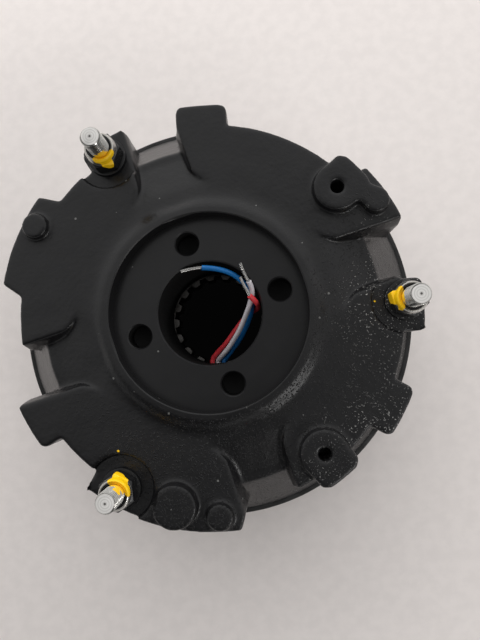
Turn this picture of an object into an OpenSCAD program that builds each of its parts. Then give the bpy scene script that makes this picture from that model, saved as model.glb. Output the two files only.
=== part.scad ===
// Spring applied brake for an electric motor, rear side up, standing on its friction plate.
// Z is the shaft axis, z = 0 is the mounting face and +X passes through the first stud.

/* [Stack along the axis] */
// Thickness of the friction plate
friction_plate_t = 12; // [11:0.5:18]
// Thickness of the brake disc over both linings
disc_t = 11; // [9:0.5:16]
// Thickness of the pressure plate
pressure_plate_t = 10; // [8:0.5:16]
// Air gap above the pressure plate while the brake is applied
air_gap = 0.45; // [0.45:0.05:1.2]
// Thickness of the damping plate on the pole face
damping_plate_t = 0.6; // [0.4:0.1:1.5]
// Height of the magnet body from its pole face to its raised rear face
magnet_h = 39.5; // [37:0.5:48]

/* [Magnet body] */
// Diameter of the rim at the pole face
rim_d = 172; // [170:1:184]
// Height of the full-width rim
rim_h = 11; // [9:0.5:14]
// Distance from the rim in to the edge of the raised rear face
face_margin = 9; // [6:0.5:12]
// Distance from the rim in to the ends of the lugs and pads
lug_margin = 0.5; // [0:0.5:3]
// Width of the straight lugs
lug_w = 21; // [14:0.5:25]
// Corner radius of the straight lugs and the stud pads
lug_corner_r = 3; // [1:0.5:5]
// Angle of the first straight lug
lug_turn = 89; // [86:0.5:92]
// Distance from a stud to the wide side of its pad
stud_pad_wide = 12.5; // [10:0.5:13]
// Distance from a stud to the narrow side of its pad
stud_pad_narrow = 8.8; // [8.5:0.1:11]
// Diameter of the bore
bore_d = 42.3; // [41.6:0.1:44]
// Diameter of the counterbore in the rear face
counterbore_d = 79.3; // [74:0.1:82]
// Depth of the counterbore's floor below the rear face
floor_drop = 3.5; // [1:0.5:6]
// Height of the collar round the counterbore
collar_h = 3; // [1:0.5:5]
// Width of the collar's flat top
collar_top_w = 3; // [1.5:0.1:4]
// Width of the collar's outer slope
collar_slope_w = 4.2; // [2:0.1:5]

/* [Pockets] */
// Angle of the first pocket and of the first rear bolt hole
pocket_turn = 15; // [13:0.5:17]
// Depth of the pockets below the rear face at the shoulder
pocket_depth = 6; // [3:0.5:8]
// Depth of the pockets below the rear face beside the collar
pocket_in_depth = 0.3; // [0.2:0.1:2]
// Width of a pocket at its floor
pocket_w = 19; // [14:0.5:21]
// Draft of a pocket's side walls in degrees
pocket_draft = 18; // [0:1:22]
// Distance from the axis to the foot of a pocket's back wall
pocket_back = 45.5; // [44:0.1:47]
// Radius of the flare where a pocket meets the collar
flare_r = 20; // [14:0.5:21]
// Distance from the rim in to where a pocket's floor breaks over to the shoulder
shoulder_margin = 17; // [14:0.5:20]

/* [Bosses] */
// Distance from the rim in to the tapped bosses
tapped_boss_margin = 15.5; // [14:0.5:17]
// Diameter of the tapped bosses
tapped_boss_d = 19; // [15:0.5:21]
// Height of the tapped bosses above the rear face
tapped_boss_h = 4; // [2:0.5:6]
// Distance from the rim in to the outer ends of the tapped bosses
tapped_boss_end_margin = 4.2; // [2:0.1:7]
// Core diameter of the tapped holes
tapped_hole_d = 5; // [4:0.1:7]
// Depth of the tapped holes
tapped_hole_depth = 14; // [8:0.5:16]
// Distance from the rim in to the buttons
button_margin = 7; // [6:0.5:9]
// Diameter of the buttons
button_d = 10.4; // [7:0.1:12]
// Height of the buttons above the rear face
button_h = 3; // [1:0.5:5]
// Distance from the rim in to the plain boss
plain_boss_margin = 10.2; // [9:0.1:13]
// Diameter of the plain boss
plain_boss_d = 17.2; // [12:0.1:20]
// Height of the plain boss above the rear face
plain_boss_h = 5; // [2:0.5:7]

/* [Rear bolt holes] */
// Bolt circle diameter of the rear holes
rear_pcd = 60; // [56:0.5:64]
// Diameter of the rear holes
rear_hole_d = 9.5; // [6:0.1:10]
// Depth of the rear holes to their drill points
rear_hole_depth = 9; // [6:0.5:9]
// Chamfer on the mouths of the rear holes and tapped holes
hole_chamfer = 0.5; // [0.2:0.1:0.8]

/* [Studs and nuts] */
// Distance from the rim in to the studs
stud_margin = 8.5; // [7.5:0.5:9.5]
// Diameter of the studs
stud_d = 8; // [6:0.5:9]
// Height of the stud tips above the rear face
stud_above_face = 18; // [15:0.5:28]
// Chamfer on the stud tips
stud_chamfer = 0.6; // [0.3:0.1:1.5]
// Wall of the nut from the thread to a flat
nut_wall = 2.5; // [2:0.1:3.5]
// Height of the hexagon of the lock nut
nut_hex_h = 6.5; // [5:0.1:8]
// Height of the round collar of the lock nut
nut_collar_h = 3; // [2:0.1:4]
// Wall of the lock nut's collar
nut_collar_wall = 0.8; // [0.5:0.1:1.2]
// Outer diameter of the washers
washer_d = 16; // [15:0.1:20]
// Thickness of the washers
washer_t = 1.6; // [1:0.1:2.5]
// Diameter of the spot faces under the washers
spot_face_d = 26; // [23:0.5:30]
// Depth of the spot faces below the rear face
spot_face_depth = 2.5; // [0.5:0.1:4]

/* [Coil] */
// Distance from the rim in to the coil groove
coil_groove_margin = 26; // [25:0.5:28]
// Radial width of the coil groove
coil_groove_w = 22; // [20:0.5:23]
// Depth of the coil groove from the pole face
coil_groove_depth = 24; // [20:0.5:27]
// Wall of the coil bobbin
bobbin_wall = 1.4; // [0.8:0.1:2]
// Share of the coil space that the accelerator winding takes
accelerator_share = 0.33; // [0.2:0.01:0.45]
// Thickness of the potting over the coil
potting_t = 2; // [1:0.1:3]

/* [Springs] */
// Distance from the rim in to the brake springs
spring_margin = 16; // [15:0.1:16.5]
// Outer diameter of the brake springs
spring_od = 11.6; // [9:0.1:12]
// Wire diameter of the brake springs
spring_wire_d = 1.8; // [1:0.1:2.2]
// Depth of the spring pockets from the pole face
spring_pocket_depth = 18; // [14:0.5:20]
// Wire diameter of the counter springs on the studs
counter_wire_d = 1.5; // [0.8:0.1:2]
// Depth of the counter spring seats from the pole face
counter_seat_depth = 6; // [3:0.5:10]

/* [Brake disc] */
// Distance from the rim in to the linings
lining_margin = 17; // [16.5:0.5:21]
// Radial width of the linings
lining_w = 25; // [19:0.5:34]
// Thickness of one lining
lining_t = 3.5; // [2:0.1:4]
// Outer diameter of the hub
hub_d = 58; // [52:0.5:64]
// Tip diameter of the internal spline
spline_tip_d = 41.4; // [38:0.1:42]
// Depth of the spline's tooth spaces
spline_depth = 2.2; // [1:0.1:3]
// Number of spline teeth
spline_teeth = 18; // [12:1:30]

/* [Plates and seal] */
// Distance from the rim in to the edge of the pressure plate
pressure_plate_margin = 4; // [2:0.5:6]
// Inner diameter of the pressure plate
pressure_plate_in_d = 49; // [44:0.5:60]
// Diameter of the shaft opening in the friction plate
shaft_opening_d = 48; // [40:0.5:56]
// Core diameter of the tapped mounting holes in the friction plate
mounting_hole_d = 6.8; // [5:0.1:9]
// Thickness of the sealing strip
seal_t = 2; // [1:0.1:3]
// Depth of the grooves that hold the sealing strip
seal_groove_depth = 1.5; // [0.8:0.1:2]
// Width of the grooves that hold the sealing strip
seal_groove_w = 3; // [2:0.1:4]

/* [Leads] */
// Diameter of the lead insulation
lead_d = 2.2; // [1.6:0.1:2.4]
// Diameter of the bare tinned lead ends
lead_end_d = 1.3; // [0.8:0.1:1.5]
// Diameter of the lead gland
gland_d = 8; // [7.6:0.1:10]

/* [Hidden] */
$fn = 96;

// Clearances
rub_gap = 0.05;
seat_gap = 0.1;
stud_gap = 0.3;
spring_gap = 0.4;
notch_gap = 0.6;
// Cutters and joined shapes run past each other's faces
past = 1;

// Levels along Z
disc_z = friction_plate_t + rub_gap;
pressure_plate_z = disc_z + disc_t + rub_gap;
pressure_top_z = pressure_plate_z + pressure_plate_t;
damping_z = pressure_top_z + air_gap;
pole_z = damping_z + damping_plate_t;
rim_z = pole_z + rim_h;
face_z = pole_z + magnet_h;
floor_z = face_z - floor_drop;
collar_z = face_z + collar_h;
pocket_z = face_z - pocket_depth;
pocket_in_z = face_z - pocket_in_depth;
spot_z = face_z - spot_face_depth;
nut_z = spot_z + washer_t;
stud_top_z = face_z + stud_above_face;
top_z = stud_top_z + past;

// Radii
rim_r = rim_d / 2;
face_r = rim_r - face_margin;
lug_r = rim_r - lug_margin;
bore_r = bore_d / 2;
counterbore_r = counterbore_d / 2;
collar_top_r = counterbore_r + collar_top_w;
collar_base_r = collar_top_r + collar_slope_w;
shoulder_r = rim_r - shoulder_margin;
tapped_boss_circle_r = rim_r - tapped_boss_margin;
tapped_boss_end_r = rim_r - tapped_boss_end_margin;
button_circle_r = rim_r - button_margin;
plain_boss_circle_r = rim_r - plain_boss_margin;
stud_r = stud_d / 2;
stud_circle_r = rim_r - stud_margin;
stud_inset = 1;
stud_hole_r = stud_r + stud_gap;
nut_af = stud_d + 2 * nut_wall;
nut_corner_r = nut_af / 2 / cos(30);
nut_collar_step = 0.4;
nut_collar_r = nut_af / 2 - nut_collar_step;
insert_r = nut_collar_r - nut_collar_wall;
counter_coil_r = stud_hole_r + spring_gap + counter_wire_d / 2;
counter_seat_r = counter_coil_r + counter_wire_d / 2 + spring_gap;
spring_circle_r = rim_r - spring_margin;
spring_coil_r = (spring_od - spring_wire_d) / 2;
spring_pocket_r = spring_od / 2 + spring_gap;
groove_out_r = rim_r - coil_groove_margin;
groove_in_r = groove_out_r - coil_groove_w;
lining_out_r = rim_r - lining_margin;
lining_in_r = lining_out_r - lining_w;
pressure_plate_r = rim_r - pressure_plate_margin;
seal_in_r = rim_r + seat_gap;
gland_r = gland_d / 2;

// Patterns
stud_angles = [0, 120, 240];
spring_angles = [for (i = [0:5]) 30 + 60 * i];
// A pocket's floor falls from the first of these distances to the second
ramp_start = collar_base_r + 3;
ramp_end = shoulder_r - 3;
ramp_slope = (pocket_in_z - pocket_z) / (ramp_end - ramp_start);
ramp_foot_z = pocket_z - past * ramp_slope;
ramp_profile = [
    [pocket_back, top_z],
    [pocket_back, pocket_in_z + (ramp_start - pocket_back) * ramp_slope],
    [ramp_end + past, ramp_foot_z],
    [2 * rim_r, ramp_foot_z],
    [2 * rim_r, top_z]];
back_lean = (pocket_back - collar_top_r) / (collar_z - pocket_in_z);
back_profile = [
    [pocket_back - (top_z - pocket_in_z) * back_lean, top_z],
    [pocket_back, pocket_in_z],
    [2 * rim_r, pocket_in_z],
    [2 * rim_r, top_z]];
pocket_angles = [for (i = [0:3]) pocket_turn + 90 * i];
mounting_angles = [60, 180, 300];
button_angles = [150, 270];
plain_boss_angle = 257;
bar_boss_angle = 40.4;
bar_end_angle = 30;
plain_tapped_angle = 306;
tapped_angles = [bar_boss_angle, plain_tapped_angle];
// Pads at the rim: angle at the face edge, at the rim, at the rim and at the face edge again
pads = [[17, 19, 39.2, 41], [139.3, 142.3, 168.6, 172], [238, 240, 275.3, 278.5]];

// Straight outer end of a tapped boss, narrower than its round on each side
boss_end_inset = 0.5;
// Reach of a tapped boss from its hole to its rounded outer corners
boss_corner_reach = 3.1;
// Slope of a drill point in degrees
drill_slope = 31;

// Coil stack inside the groove
bobbin_z = pole_z + potting_t;
bobbin_top_z = pole_z + coil_groove_depth - seat_gap;
bobbin_in_r = groove_in_r + seat_gap;
bobbin_tube_r = bobbin_in_r + bobbin_wall;
coil_out_r = groove_out_r - seat_gap - potting_t;
winding_z = bobbin_z + bobbin_wall + seat_gap;
winding_h = bobbin_top_z - bobbin_wall - seat_gap - winding_z;
accelerator_in_r = bobbin_tube_r + seat_gap;
accelerator_out_r = accelerator_in_r + accelerator_share * (coil_out_r - accelerator_in_r);
holding_in_r = accelerator_out_r + seat_gap;

// Width of a spline's tooth space at the tips and at the roots, as shares of the pitch
space_tip_share = 0.58;
space_root_share = 0.4;
// Drop of the hub's faces below the linings
hub_inset = 0.5;

// Seal grooves
seal_low_z = friction_plate_t - 2 * seal_groove_w;
seal_high_z = pole_z + seal_groove_w;
seal_bottom_z = seal_low_z - seal_groove_w / 2;
seal_edge_drop = 0.6;
seal_top_z = rim_z - seal_edge_drop;

// Lead gland in the bore wall
gland_z = pole_z + coil_groove_depth / 2;
gland_stand_out = 0.5;
gland_face_r = bore_r - gland_stand_out;
lead_pitch = 2.6;
lead_sides = 8;
lead_start = [0, -gland_face_r, 0];
// Routes of the leads after the gland and of their bare ends, heights from the gland's axis
red_route = [
    [-2.6, -19.95, 0], [-2.35, -18.95, 0.05], [-1.2, -17.3, 0.5], [1, -15.1, 1.5], [3.9, -12.6, 3.1],
    [6.7, -9.4, 4.7], [9.5, -6.2, 6.2], [12.1, -3.3, 7.5], [14.5, -1.1, 8.6], [16.6, 0.3, 9.7],
    [18.3, 1, 11.3], [19.4, 1.5, 13.6], [19.7, 1.9, 16.4], [19.5, 2.6, 19.3], [18.8, 3.5, 21.8],
    [17.7, 4.6, 23.6], [16.5, 5.8, 24.8]];
red_end_route = [
    [16.5, 5.8, 24.8], [15.7, 7.7, 25.3], [14.7, 9.7, 25.4], [13.9, 11.6, 25.5],
    [13.3, 13.4, 25.7]];
white_route = [
    [0, -19.95, 0], [0.5, -19.1, 0.75], [2.2, -17.5, 2.4], [4.8, -15, 4.7], [7.2, -12.1, 6.8],
    [9.6, -9, 9.1], [11.8, -5.7, 11.7], [13.7, -2.2, 14.2], [15.3, 0.9, 16.5], [16.5, 3.6, 18.4],
    [17.3, 5.8, 20.1], [17.6, 7.8, 21.7], [17.3, 9.7, 23.2], [16.6, 11.6, 24.8]];
white_end_route = [
    [16.6, 11.6, 24.8], [15.8, 12.8, 25.7], [15.1, 14.5, 26.8], [14.3, 16.5, 27.8],
    [13.7, 18.5, 28.7]];
blue_route = [
    [2.6, -19.95, 0], [3.4, -19, 0.1], [5.1, -17.3, 1.3], [7.3, -14.6, 2.9], [9.9, -11.7, 4.9],
    [12.2, -8.5, 7], [14.2, -5.1, 9.3], [15.8, -1.8, 11.6], [16.8, 1.2, 13.6], [17.1, 3.8, 15.3],
    [17, 6.2, 16.6], [16.3, 8.6, 17.7], [15, 10.9, 18.8], [13.2, 13.1, 19.7], [11.1, 14.9, 20.5],
    [8.6, 16.4, 21.1], [5.5, 17.6, 21.7], [1.8, 18.4, 22.3], [-2.3, 18.9, 22.8]];
blue_end_route = [
    [-2.3, 18.9, 22.8], [-5.2, 18.6, 23.6], [-8, 18.1, 24.5], [-10.6, 17.4, 25.1]];

// Point at radius r and angle a
function polar(r, a) = [r * cos(a), r * sin(a)];

// Vector of length one
function unit(v) = v / norm(v);

// Direction of a path at each of its points
function tangents(path) = [for (i = [0:len(path) - 1])
    let (last = len(path) - 1)
    i == 0 ? unit(path[1] - path[0])
    : i == last ? unit(path[last] - path[last - 1])
    : unit(unit(path[i + 1] - path[i]) + unit(path[i] - path[i - 1]))];

// A vector square to a direction
function square_to(t) = unit(cross(t, abs(t.z) < 0.9 ? [0, 0, 1] : [1, 0, 0]));

// Vectors square to each direction, carried along without twist
function carried(dirs, done = []) =
    len(done) == len(dirs) ? done
    : let (t = dirs[len(done)])
      let (last = len(done) == 0 ? square_to(t) : done[len(done) - 1])
      carried(dirs, concat(done, [unit(last - (last * t) * t)]));

// Round tube with flat ends along a path
module tube(path, r, sides) {
    dirs = tangents(path);
    normals = carried(dirs);
    rings = len(path);
    points = [for (i = [0:rings - 1], j = [0:sides - 1])
        path[i] + r * (cos(360 * j / sides) * normals[i]
            + sin(360 * j / sides) * cross(dirs[i], normals[i]))];
    walls = [for (i = [0:rings - 2], j = [0:sides - 1], half = [0, 1])
        let (k = (j + 1) % sides)
        let (low = i * sides)
        let (high = low + sides)
        half == 0 ? [low + j, high + j, high + k] : [low + j, high + k, low + k]];
    start_cap = [for (j = [0:sides - 1]) j];
    end_cap = [for (j = [sides - 1:-1:0]) (rings - 1) * sides + j];
    polyhedron(points, concat(walls, [start_cap, end_cap]), convexity = 6);
}

// Compression spring with closed ends, standing on z = 0
module coil_spring(coil_r, wire_d, h, turns = 6, steps = 10, sides = 6, closed_ratio = 1.05) {
    closed_pitch = closed_ratio * wire_d;
    open_pitch = (h - wire_d - 2 * closed_pitch) / (turns - 2);
    path = [for (i = [0:turns * steps])
        let (t = i / steps)
        let (rise = min(t, 1) * closed_pitch + min(max(t - 1, 0), turns - 2) * open_pitch
            + max(t - turns + 1, 0) * closed_pitch)
        [coil_r * cos(360 * t), coil_r * sin(360 * t), wire_d / 2 + rise]];
    tube(path, wire_d / 2, sides);
}

// Solid of revolution ring between two radii and two levels
module ring(r_in, r_out, z, h) {
    translate([0, 0, z])
        rotate_extrude()
            translate([r_in, 0])
                square([r_out - r_in, h]);
}

// Children placed on a circle, one at each angle
module on_circle(r, angles) {
    for (a = angles)
        rotate(a)
            translate([r, 0, 0])
                children();
}

// Outline of a straight lug along +X with its two half widths, before the rim trims it
module lug_plan(right_w, left_w) {
    corner_lap = 0.1;
    for (side = [[-1, right_w], [1, left_w]]) {
        corner_y = side[1] - lug_corner_r;
        corner_x = sqrt(pow(lug_r, 2) - pow(corner_y, 2)) - lug_corner_r + corner_lap;
        translate([0, side[0] > 0 ? -past : -side[1]])
            square([corner_x, side[1] + past]);
        translate([0, side[0] > 0 ? -past : -corner_y])
            square([lug_r + past, corner_y + past]);
        translate([corner_x, side[0] * corner_y])
            circle(lug_corner_r);
    }
}

// Point that lies as far beyond b as b lies beyond a
function beyond(a, b) = 2 * b - a;

// Outline of a pad with sides that run inwards, before the rim trims it
module pad_plan(pad) {
    inner_r = face_r - past;
    start = polar(inner_r, pad[0]);
    end = polar(inner_r, pad[3]);
    polygon([
        [0, 0], start, beyond(start, polar(lug_r, pad[1])),
        polar(2 * lug_r, (pad[1] + pad[2]) / 2), beyond(end, polar(lug_r, pad[2])), end]);
}

// Outline of a tapped boss with its straight outer end
module tapped_boss_plan(angle) {
    end_w = tapped_boss_d - 2 * boss_end_inset;
    translate(polar(tapped_boss_circle_r, angle))
        circle(d = tapped_boss_d);
    intersection() {
        circle(tapped_boss_end_r);
        translate(polar(tapped_boss_circle_r, angle))
            circle(tapped_boss_d / 2 + boss_corner_reach);
        rotate(angle)
            translate([tapped_boss_circle_r, -end_w / 2])
                square([lug_r - tapped_boss_circle_r, end_w]);
    }
}

// Outline of the bar that runs from one tapped boss to the button beside it
module boss_bar_plan() {
    start = polar(tapped_boss_circle_r, bar_boss_angle);
    end = polar(button_circle_r, bar_end_angle);
    run = end - start;
    inner_w = 0.3 * button_d;
    translate(end)
        circle(d = button_d);
    translate(start)
        rotate(atan2(run.y, run.x))
            translate([0, -inner_w])
                square([norm(run), inner_w + button_d / 2]);
}

// Outline of one pocket along +X: straight sides, flared where it meets the collar
module pocket_plan() {
    half_w = pocket_w / 2;
    translate([pocket_back, -half_w])
        square([rim_r, pocket_w]);
    for (side = [-1, 1])
        difference() {
            translate([pocket_back, side > 0 ? half_w - past : -half_w - flare_r])
                square([flare_r, flare_r + past]);
            translate([pocket_back + flare_r, side * (half_w + flare_r)])
                circle(flare_r);
        }
}

// Space over a profile along +X between the drafted sides of a pocket, with or without flares
module pocket_space(profile, flared) {
    foot_z = pocket_z - past;
    h = top_z - foot_z;
    half_w = pocket_w / 2 - past * tan(pocket_draft);
    widen = h * tan(pocket_draft);
    intersection() {
        union() {
            translate([0, 0, foot_z])
                rotate([90, 0, 90])
                    linear_extrude(rim_r + past)
                        polygon([[-half_w, 0], [half_w, 0], [half_w + widen, h], [-half_w - widen, h]]);
            if (flared)
                translate([0, 0, foot_z])
                    linear_extrude(h)
                        pocket_plan();
        }
        translate([0, rim_r, 0])
            rotate([90, 0, 0])
                linear_extrude(2 * rim_r)
                    polygon(profile);
    }
}

// Outline of the raised rear face with everything that stands out to the rim
module face_plan() {
    difference() {
        union() {
            circle(face_r);
            intersection() {
                circle(lug_r);
                union() {
                    for (a = stud_angles) {
                        rotate(lug_turn + a)
                            lug_plan(lug_w / 2, lug_w / 2);
                        rotate(a)
                            lug_plan(stud_pad_wide, stud_pad_narrow);
                    }
                    for (pad = pads)
                        pad_plan(pad);
                }
            }
            for (a = tapped_angles)
                tapped_boss_plan(a);
        }
        for (a = pocket_angles)
            rotate(a)
                translate([ramp_end + past / 2, -pocket_w / 2])
                    square([rim_r, pocket_w]);
    }
}

// Rim, shoulder and inner disc of the casting
module casting_base() {
    rotate_extrude()
        polygon([
            [0, pole_z], [rim_r, pole_z], [rim_r, rim_z], [shoulder_r, pocket_z],
            [collar_base_r, pocket_z], [collar_base_r, face_z], [collar_top_r, collar_z],
            [0, collar_z]]);
}

// Bosses and buttons that stand on the raised face
module face_bosses() {
    translate([0, 0, face_z - past]) {
        linear_extrude(past + tapped_boss_h) {
            for (a = tapped_angles)
                tapped_boss_plan(a);
            boss_bar_plan();
        }
        on_circle(button_circle_r, button_angles)
            cylinder(h = past + button_h, d = button_d);
        on_circle(plain_boss_circle_r, [plain_boss_angle])
            cylinder(h = past + plain_boss_h, d = plain_boss_d);
    }
}

// Drilled hole down from a level, with a chamfered mouth
module drilled_hole(z, depth, d) {
    r = d / 2;
    foot = z - depth;
    rotate_extrude()
        polygon([
            [0, foot - r * tan(drill_slope)], [r, foot], [r, z - hole_chamfer],
            [r + hole_chamfer + past, z + past], [0, z + past]]);
}

// Bore, counterbore, bolt holes and tapped holes from the rear
module rear_cuts() {
    translate([0, 0, pole_z - past])
        cylinder(h = magnet_h + collar_h + 2 * past, r = bore_r);
    translate([0, 0, floor_z])
        cylinder(h = top_z - floor_z, r = counterbore_r);
    on_circle(rear_pcd / 2, pocket_angles)
        drilled_hole(floor_z, rear_hole_depth, rear_hole_d);
    on_circle(tapped_boss_circle_r, tapped_angles)
        drilled_hole(face_z + tapped_boss_h, tapped_hole_depth, tapped_hole_d);
    on_circle(stud_circle_r, stud_angles) {
        translate([0, 0, spot_z])
            cylinder(h = top_z - spot_z, d = spot_face_d);
        translate([0, 0, pole_z - past])
            cylinder(h = magnet_h + past, r = stud_hole_r);
    }
}

// Coil groove, spring pockets, seal groove and lead passage
module inner_cuts() {
    ring(groove_in_r, groove_out_r, pole_z - past, coil_groove_depth + past);
    on_circle(spring_circle_r, spring_angles)
        translate([0, 0, pole_z - past])
            cylinder(h = spring_pocket_depth + past, r = spring_pocket_r);
    on_circle(stud_circle_r, stud_angles)
        translate([0, 0, pole_z - past])
            cylinder(h = counter_seat_depth + past, r = counter_seat_r);
    ring(rim_r - seal_groove_depth, rim_r + past, seal_high_z, seal_groove_w);
    translate([0, 0, gland_z])
        rotate([90, 0, 0])
            cylinder(h = groove_in_r + past, r = gland_r + seat_gap);
}

module magnet_body() {
    color([0.11, 0.11, 0.12])
        difference() {
            union() {
                casting_base();
                difference() {
                    translate([0, 0, rim_z - past])
                        linear_extrude(face_z - rim_z + past)
                            face_plan();
                    for (a = pocket_angles)
                        rotate(a)
                            pocket_space(ramp_profile, true);
                }
                face_bosses();
            }
            for (a = pocket_angles)
                rotate(a)
                    pocket_space(back_profile, false);
            rear_cuts();
            inner_cuts();
        }
}

module coil_bobbin() {
    color([0.85, 0.82, 0.72])
        rotate_extrude()
            difference() {
                translate([bobbin_in_r, bobbin_z])
                    square([coil_out_r - bobbin_in_r, bobbin_top_z - bobbin_z]);
                translate([bobbin_tube_r, bobbin_z + bobbin_wall])
                    square([coil_out_r, bobbin_top_z - bobbin_z - 2 * bobbin_wall]);
            }
}

module accelerator_winding() {
    color([0.72, 0.38, 0.18])
        ring(accelerator_in_r, accelerator_out_r, winding_z, winding_h);
}

module holding_winding() {
    color([0.66, 0.32, 0.14])
        ring(holding_in_r, coil_out_r, winding_z, winding_h);
}

module coil_potting() {
    color([0.2, 0.17, 0.15])
        rotate_extrude() {
            translate([coil_out_r + seat_gap, pole_z + seat_gap])
                square([potting_t - seat_gap, coil_groove_depth - 2 * seat_gap]);
            translate([bobbin_in_r, pole_z + seat_gap])
                square([coil_out_r + 2 * seat_gap - bobbin_in_r, potting_t - 2 * seat_gap]);
        }
}

module damping_plate() {
    color([0.6, 0.6, 0.58])
        difference() {
            ring(pressure_plate_in_d / 2, pressure_plate_r, damping_z, damping_plate_t);
            on_circle(spring_circle_r, spring_angles)
                translate([0, 0, damping_z - past])
                    cylinder(h = damping_plate_t + 2 * past, r = spring_pocket_r);
            stud_notches(damping_z, damping_plate_t);
        }
}

// Open notches for the studs and their springs in the rim of a plate
module stud_notches(z, h) {
    notch_r = counter_seat_r + notch_gap;
    on_circle(stud_circle_r, stud_angles)
        translate([0, 0, z - past])
            linear_extrude(h + 2 * past) {
                circle(notch_r);
                translate([0, -notch_r])
                    square([rim_r, 2 * notch_r]);
            }
}

module brake_springs() {
    color([0.5, 0.5, 0.52])
        on_circle(spring_circle_r, spring_angles)
            translate([0, 0, pressure_top_z + rub_gap])
                coil_spring(spring_coil_r, spring_wire_d,
                    pole_z + spring_pocket_depth - pressure_top_z - 2 * rub_gap);
}

module counter_springs() {
    color([0.5, 0.5, 0.52])
        on_circle(stud_circle_r, stud_angles)
            translate([0, 0, friction_plate_t + rub_gap])
                coil_spring(counter_coil_r, counter_wire_d,
                    pole_z + counter_seat_depth - friction_plate_t - 2 * rub_gap);
}

module studs() {
    color([0.75, 0.75, 0.73])
        on_circle(stud_circle_r, stud_angles)
            rotate_extrude()
                polygon([
                    [0, stud_inset], [stud_r - stud_chamfer, stud_inset],
                    [stud_r, stud_inset + stud_chamfer],
                    [stud_r, stud_top_z - stud_chamfer], [stud_r - stud_chamfer, stud_top_z],
                    [0, stud_top_z]]);
}

module stud_washers() {
    color([0.14, 0.14, 0.15])
        on_circle(stud_circle_r, stud_angles)
            ring(stud_hole_r, washer_d / 2, spot_z, washer_t);
}

module lock_nuts() {
    edge = nut_corner_r - nut_af / 2;
    color([0.72, 0.72, 0.7])
        on_circle(stud_circle_r, stud_angles)
            translate([0, 0, nut_z])
                difference() {
                    union() {
                        intersection() {
                            cylinder(h = nut_hex_h, r = nut_corner_r, $fn = 6);
                            rotate_extrude()
                                polygon([
                                    [0, 0], [nut_corner_r - edge, 0], [nut_corner_r, edge / 2],
                                    [nut_corner_r, nut_hex_h - edge / 2],
                                    [nut_corner_r - edge, nut_hex_h], [0, nut_hex_h]]);
                        }
                        rotate_extrude()
                            polygon([
                                [0, nut_hex_h - past], [nut_collar_r, nut_hex_h - past],
                                [nut_collar_r, nut_hex_h + nut_collar_h - nut_collar_wall],
                                [nut_collar_r - nut_collar_wall / 2, nut_hex_h + nut_collar_h],
                                [0, nut_hex_h + nut_collar_h]]);
                    }
                    translate([0, 0, -past])
                        cylinder(h = nut_hex_h + nut_collar_h + 2 * past, r = stud_r + rub_gap);
                    translate([0, 0, nut_hex_h])
                        cylinder(h = nut_collar_h + past, r = insert_r);
                }
}

module nut_inserts() {
    color([0.09, 0.09, 0.1])
        on_circle(stud_circle_r, stud_angles)
            ring(stud_r + rub_gap, insert_r - rub_gap, nut_z + nut_hex_h, nut_collar_h - seat_gap);
}

module friction_plate() {
    color([0.45, 0.45, 0.46])
        difference() {
            ring(shaft_opening_d / 2, rim_r, 0, friction_plate_t);
            on_circle(stud_circle_r, stud_angles)
                translate([0, 0, -past])
                    cylinder(h = friction_plate_t + 2 * past, r = stud_r + rub_gap);
            on_circle(stud_circle_r, mounting_angles)
                translate([0, 0, -past])
                    cylinder(h = friction_plate_t + 2 * past, d = mounting_hole_d);
            ring(rim_r - seal_groove_depth, rim_r + past, seal_low_z, seal_groove_w);
        }
}

module sealing_strip() {
    bead_r = seal_in_r - seal_groove_depth + seat_gap;
    color([0.07, 0.07, 0.075])
        rotate_extrude() {
            translate([seal_in_r, seal_bottom_z])
                square([seal_t, seal_top_z - seal_bottom_z]);
            for (z = [seal_low_z, seal_high_z])
                translate([bead_r, z + seat_gap])
                    square([seal_in_r + seal_t / 2 - bead_r, seal_groove_w - 2 * seat_gap]);
        }
}

module lead_gland() {
    color([0.12, 0.12, 0.12])
        translate([0, -gland_face_r, gland_z])
            rotate([90, 0, 0])
                cylinder(h = groove_in_r - gland_face_r - seat_gap, r = gland_r);
}

// Lead or bare end along a route that starts from the gland's axis
module lead_tube(route, d) {
    translate([0, 0, gland_z])
        tube(route, d / 2, lead_sides);
}

module red_lead() {
    color([0.78, 0.12, 0.14])
        lead_tube(concat([lead_start - [lead_pitch, 0, 0]], red_route), lead_d);
}

module white_lead() {
    color([0.88, 0.87, 0.86])
        lead_tube(concat([lead_start], white_route), lead_d);
}

module blue_lead() {
    color([0.05, 0.35, 0.75])
        lead_tube(concat([lead_start + [lead_pitch, 0, 0]], blue_route), lead_d);
}

module red_lead_end() {
    color([0.75, 0.75, 0.74])
        lead_tube(red_end_route, lead_end_d);
}

module white_lead_end() {
    color([0.75, 0.75, 0.74])
        lead_tube(white_end_route, lead_end_d);
}

module blue_lead_end() {
    color([0.75, 0.75, 0.74])
        lead_tube(blue_end_route, lead_end_d);
}

module pressure_plate() {
    color([0.5, 0.5, 0.52])
        difference() {
            ring(pressure_plate_in_d / 2, pressure_plate_r, pressure_plate_z, pressure_plate_t);
            stud_notches(pressure_plate_z, pressure_plate_t);
        }
}

// Tooth spaces of the internal spline, narrower at their roots
module spline_plan() {
    tip_r = spline_tip_d / 2;
    root_r = tip_r + spline_depth;
    pitch_w = PI * spline_tip_d / spline_teeth;
    tip_half_w = space_tip_share * pitch_w / 2;
    root_half_w = space_root_share * pitch_w / 2;
    circle(tip_r);
    for (i = [0:spline_teeth - 1])
        rotate(360 * (i + 0.5) / spline_teeth)
            polygon([
                [tip_r - past, -tip_half_w], [root_r, -root_half_w],
                [root_r, root_half_w], [tip_r - past, tip_half_w]]);
}

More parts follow.
